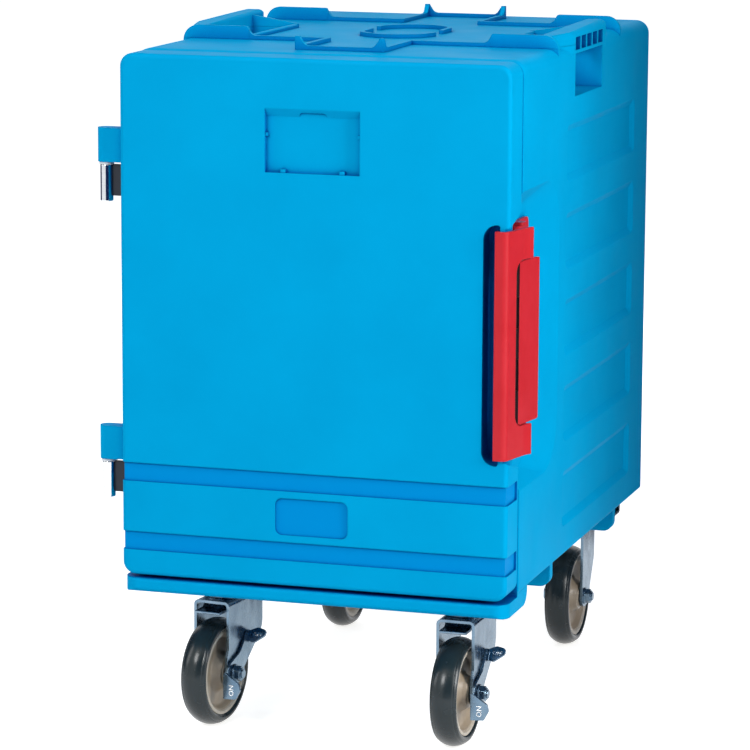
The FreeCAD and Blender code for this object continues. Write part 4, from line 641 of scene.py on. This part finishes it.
# %% Floor
def seen_directly(tree):
    """1 for what the camera, a mirror or a glass sees, 0 for light that only bounces on."""
    path = add(tree, "ShaderNodeLightPath").outputs
    seen = add(tree, "ShaderNodeMath", {"operation": "MAXIMUM"},
               {0: path["Is Camera Ray"], 1: path["Is Glossy Ray"]})
    seen = add(tree, "ShaderNodeMath", {"operation": "MAXIMUM"},
               {0: seen.outputs[0], 1: path["Is Transmission Ray"]})
    return seen.outputs[0]


GLOW_NEAR, GLOW_FAR = 0.84, 0.98
NEAR_METRES, FAR_METRES = 0.6, 2.2


def floor_finish():
    """White where nothing shades it, with the carrier's soft shadow kept, and white to the horizon."""
    material, tree, shader, place = new_finish("matte_studio_floor", Roughness=0.9, Specular_IOR_Level=0.0)
    shader.inputs["Base Color"].default_value = linear("#DCDCDC")
    shader.inputs["Emission Color"].default_value = linear("#FFFDF9")
    away = add(tree, "ShaderNodeVectorMath", {"operation": "LENGTH"}, {0: place})
    glow = add(tree, "ShaderNodeMapRange", links={
        "Value": away.outputs["Value"], "From Min": NEAR_METRES, "From Max": FAR_METRES,
        "To Min": GLOW_NEAR, "To Max": GLOW_FAR})
    made = add(tree, "ShaderNodeMath", {"operation": "MULTIPLY"},
               {0: seen_directly(tree), 1: glow.outputs[0]})
    tree.links.new(made.outputs[0], shader.inputs["Emission Strength"])
    return material


FLOOR_HALF = 14.0
floor_mesh = bpy.data.meshes.new("studio_floor")
floor_corners = [(x * FLOOR_HALF, y * FLOOR_HALF, 0) for x, y in ((-1, -1), (1, -1), (1, 1), (-1, 1))]
floor_mesh.from_pydata(floor_corners, [], [(0, 1, 2, 3)])
floor_mesh.materials.append(floor_finish())
floor = bpy.data.objects.new("studio_floor", floor_mesh)
bpy.context.scene.collection.objects.link(floor)
print("floor", 2 * FLOOR_HALF, "m wide")

# %% [markdown]
# ## World and lamps
#
# The softbox at the front lights the door at a level at which a colour renders about as it is written. One
# at the right lights the side wall, weaker ones at the left, above and behind keep the other sides from
# going black, and the world adds a faint blue fill, which gives the shadows their blue. The lamp behind is
# kept out of reflections, since the roof would mirror it at a glancing angle.

# %% World and lamps
world = bpy.data.worlds.new("studio")
bpy.context.scene.world = world
world.use_nodes = True
sky = world.node_tree
sky.nodes.clear()
AMBIENT = 0.25
AMBIENT_TINT = "#A4C9FF"
seen = seen_directly(sky)
strength = add(sky, "ShaderNodeMapRange", links={"Value": seen, "To Min": AMBIENT, "To Max": 1.0})
tint = add(sky, "ShaderNodeMix", {"data_type": "RGBA"}, {0: seen, 7: (1, 1, 1, 1)})
tint.inputs[6].default_value = linear(AMBIENT_TINT)
background = add(sky, "ShaderNodeBackground", links={"Color": tint.outputs[2],
                                                     "Strength": strength.outputs[0]})
add(sky, "ShaderNodeOutputWorld", links={"Surface": background.outputs[0]})


def soft_lamp(name, place, target, width, height, watts):
    """A rectangular softbox that faces the target."""
    data = bpy.data.lights.new(name, "AREA")
    data.shape = "RECTANGLE"
    data.size, data.size_y = width, height
    data.energy = watts
    lamp = bpy.data.objects.new(name, data)
    bpy.context.scene.collection.objects.link(lamp)
    lamp.location = place
    lamp.rotation_euler = (Vector(target) - Vector(place)).to_track_quat("-Z", "Y").to_euler()
    return lamp


MIDDLE = (0, -0.1, 0.45)
SIDE_WALL = (0.2, -0.2, 0.45)
soft_lamp("softbox_front", (-0.7, -3.0, 2.2), MIDDLE, width=1.0, height=1.0, watts=50)
soft_lamp("softbox_right", (2.2, -0.85, 1.2), SIDE_WALL, width=0.6, height=1.4, watts=46)
soft_lamp("softbox_left", (-2.6, -1.2, 1.6), MIDDLE, width=0.8, height=1.8, watts=14)
soft_lamp("softbox_top", (0.1, -0.2, 3.2), MIDDLE, width=1.6, height=1.6, watts=16)
back_lamp = soft_lamp("softbox_back", (-0.9, 3.0, 1.6), MIDDLE, width=1.2, height=1.2, watts=30)
back_lamp.visible_glossy = False
print("ambient", AMBIENT, "and five lamps")

# %% [markdown]
# ## Dark flags
#
# Polished metal only looks like metal when it has something dark to mirror, and satin plastic goes hazy
# where it mirrors a white room at a glancing angle. A photographer stands dark cards beside the set, out
# of the frame. These do the same: the camera can't see them. One also shades the back of the right-hand
# wall, as in the photograph; the others are only seen in reflections and take no light from the floor.

# %% Flags
card, tree, shader, _ = new_finish("navy_card", Roughness=0.8, Specular_IOR_Level=0.0)
shader.inputs["Base Color"].default_value = linear("#1A2E5A")
CARD_FOOT = 0.01


def flag(name, start, end, high, shades):
    """An upright dark card between two points on the floor, in metres."""
    mesh = bpy.data.meshes.new(name)
    corners = [(*start, CARD_FOOT), (*end, CARD_FOOT), (*end, high), (*start, high)]
    mesh.from_pydata(corners, [], [(0, 1, 2, 3)])
    mesh.materials.append(card)
    board = bpy.data.objects.new(name, mesh)
    bpy.context.scene.collection.objects.link(board)
    board.visible_camera = False
    board.visible_diffuse = shades
    board.visible_shadow = shades
    return board


flag("flag_beside_back", (1.2, -0.30), (1.2, 1.9), high=1.9, shades=True)
flag("flag_behind_right", (0.28, 0.8), (2.4, 1.5), high=2.2, shades=False)
flag("flag_left", (-1.9, -0.6), (-1.9, 1.2), high=2.2, shades=False)
flag("flag_front", (-0.3, -3.4), (1.9, -1.8), high=2.0, shades=False)
print("four flags")
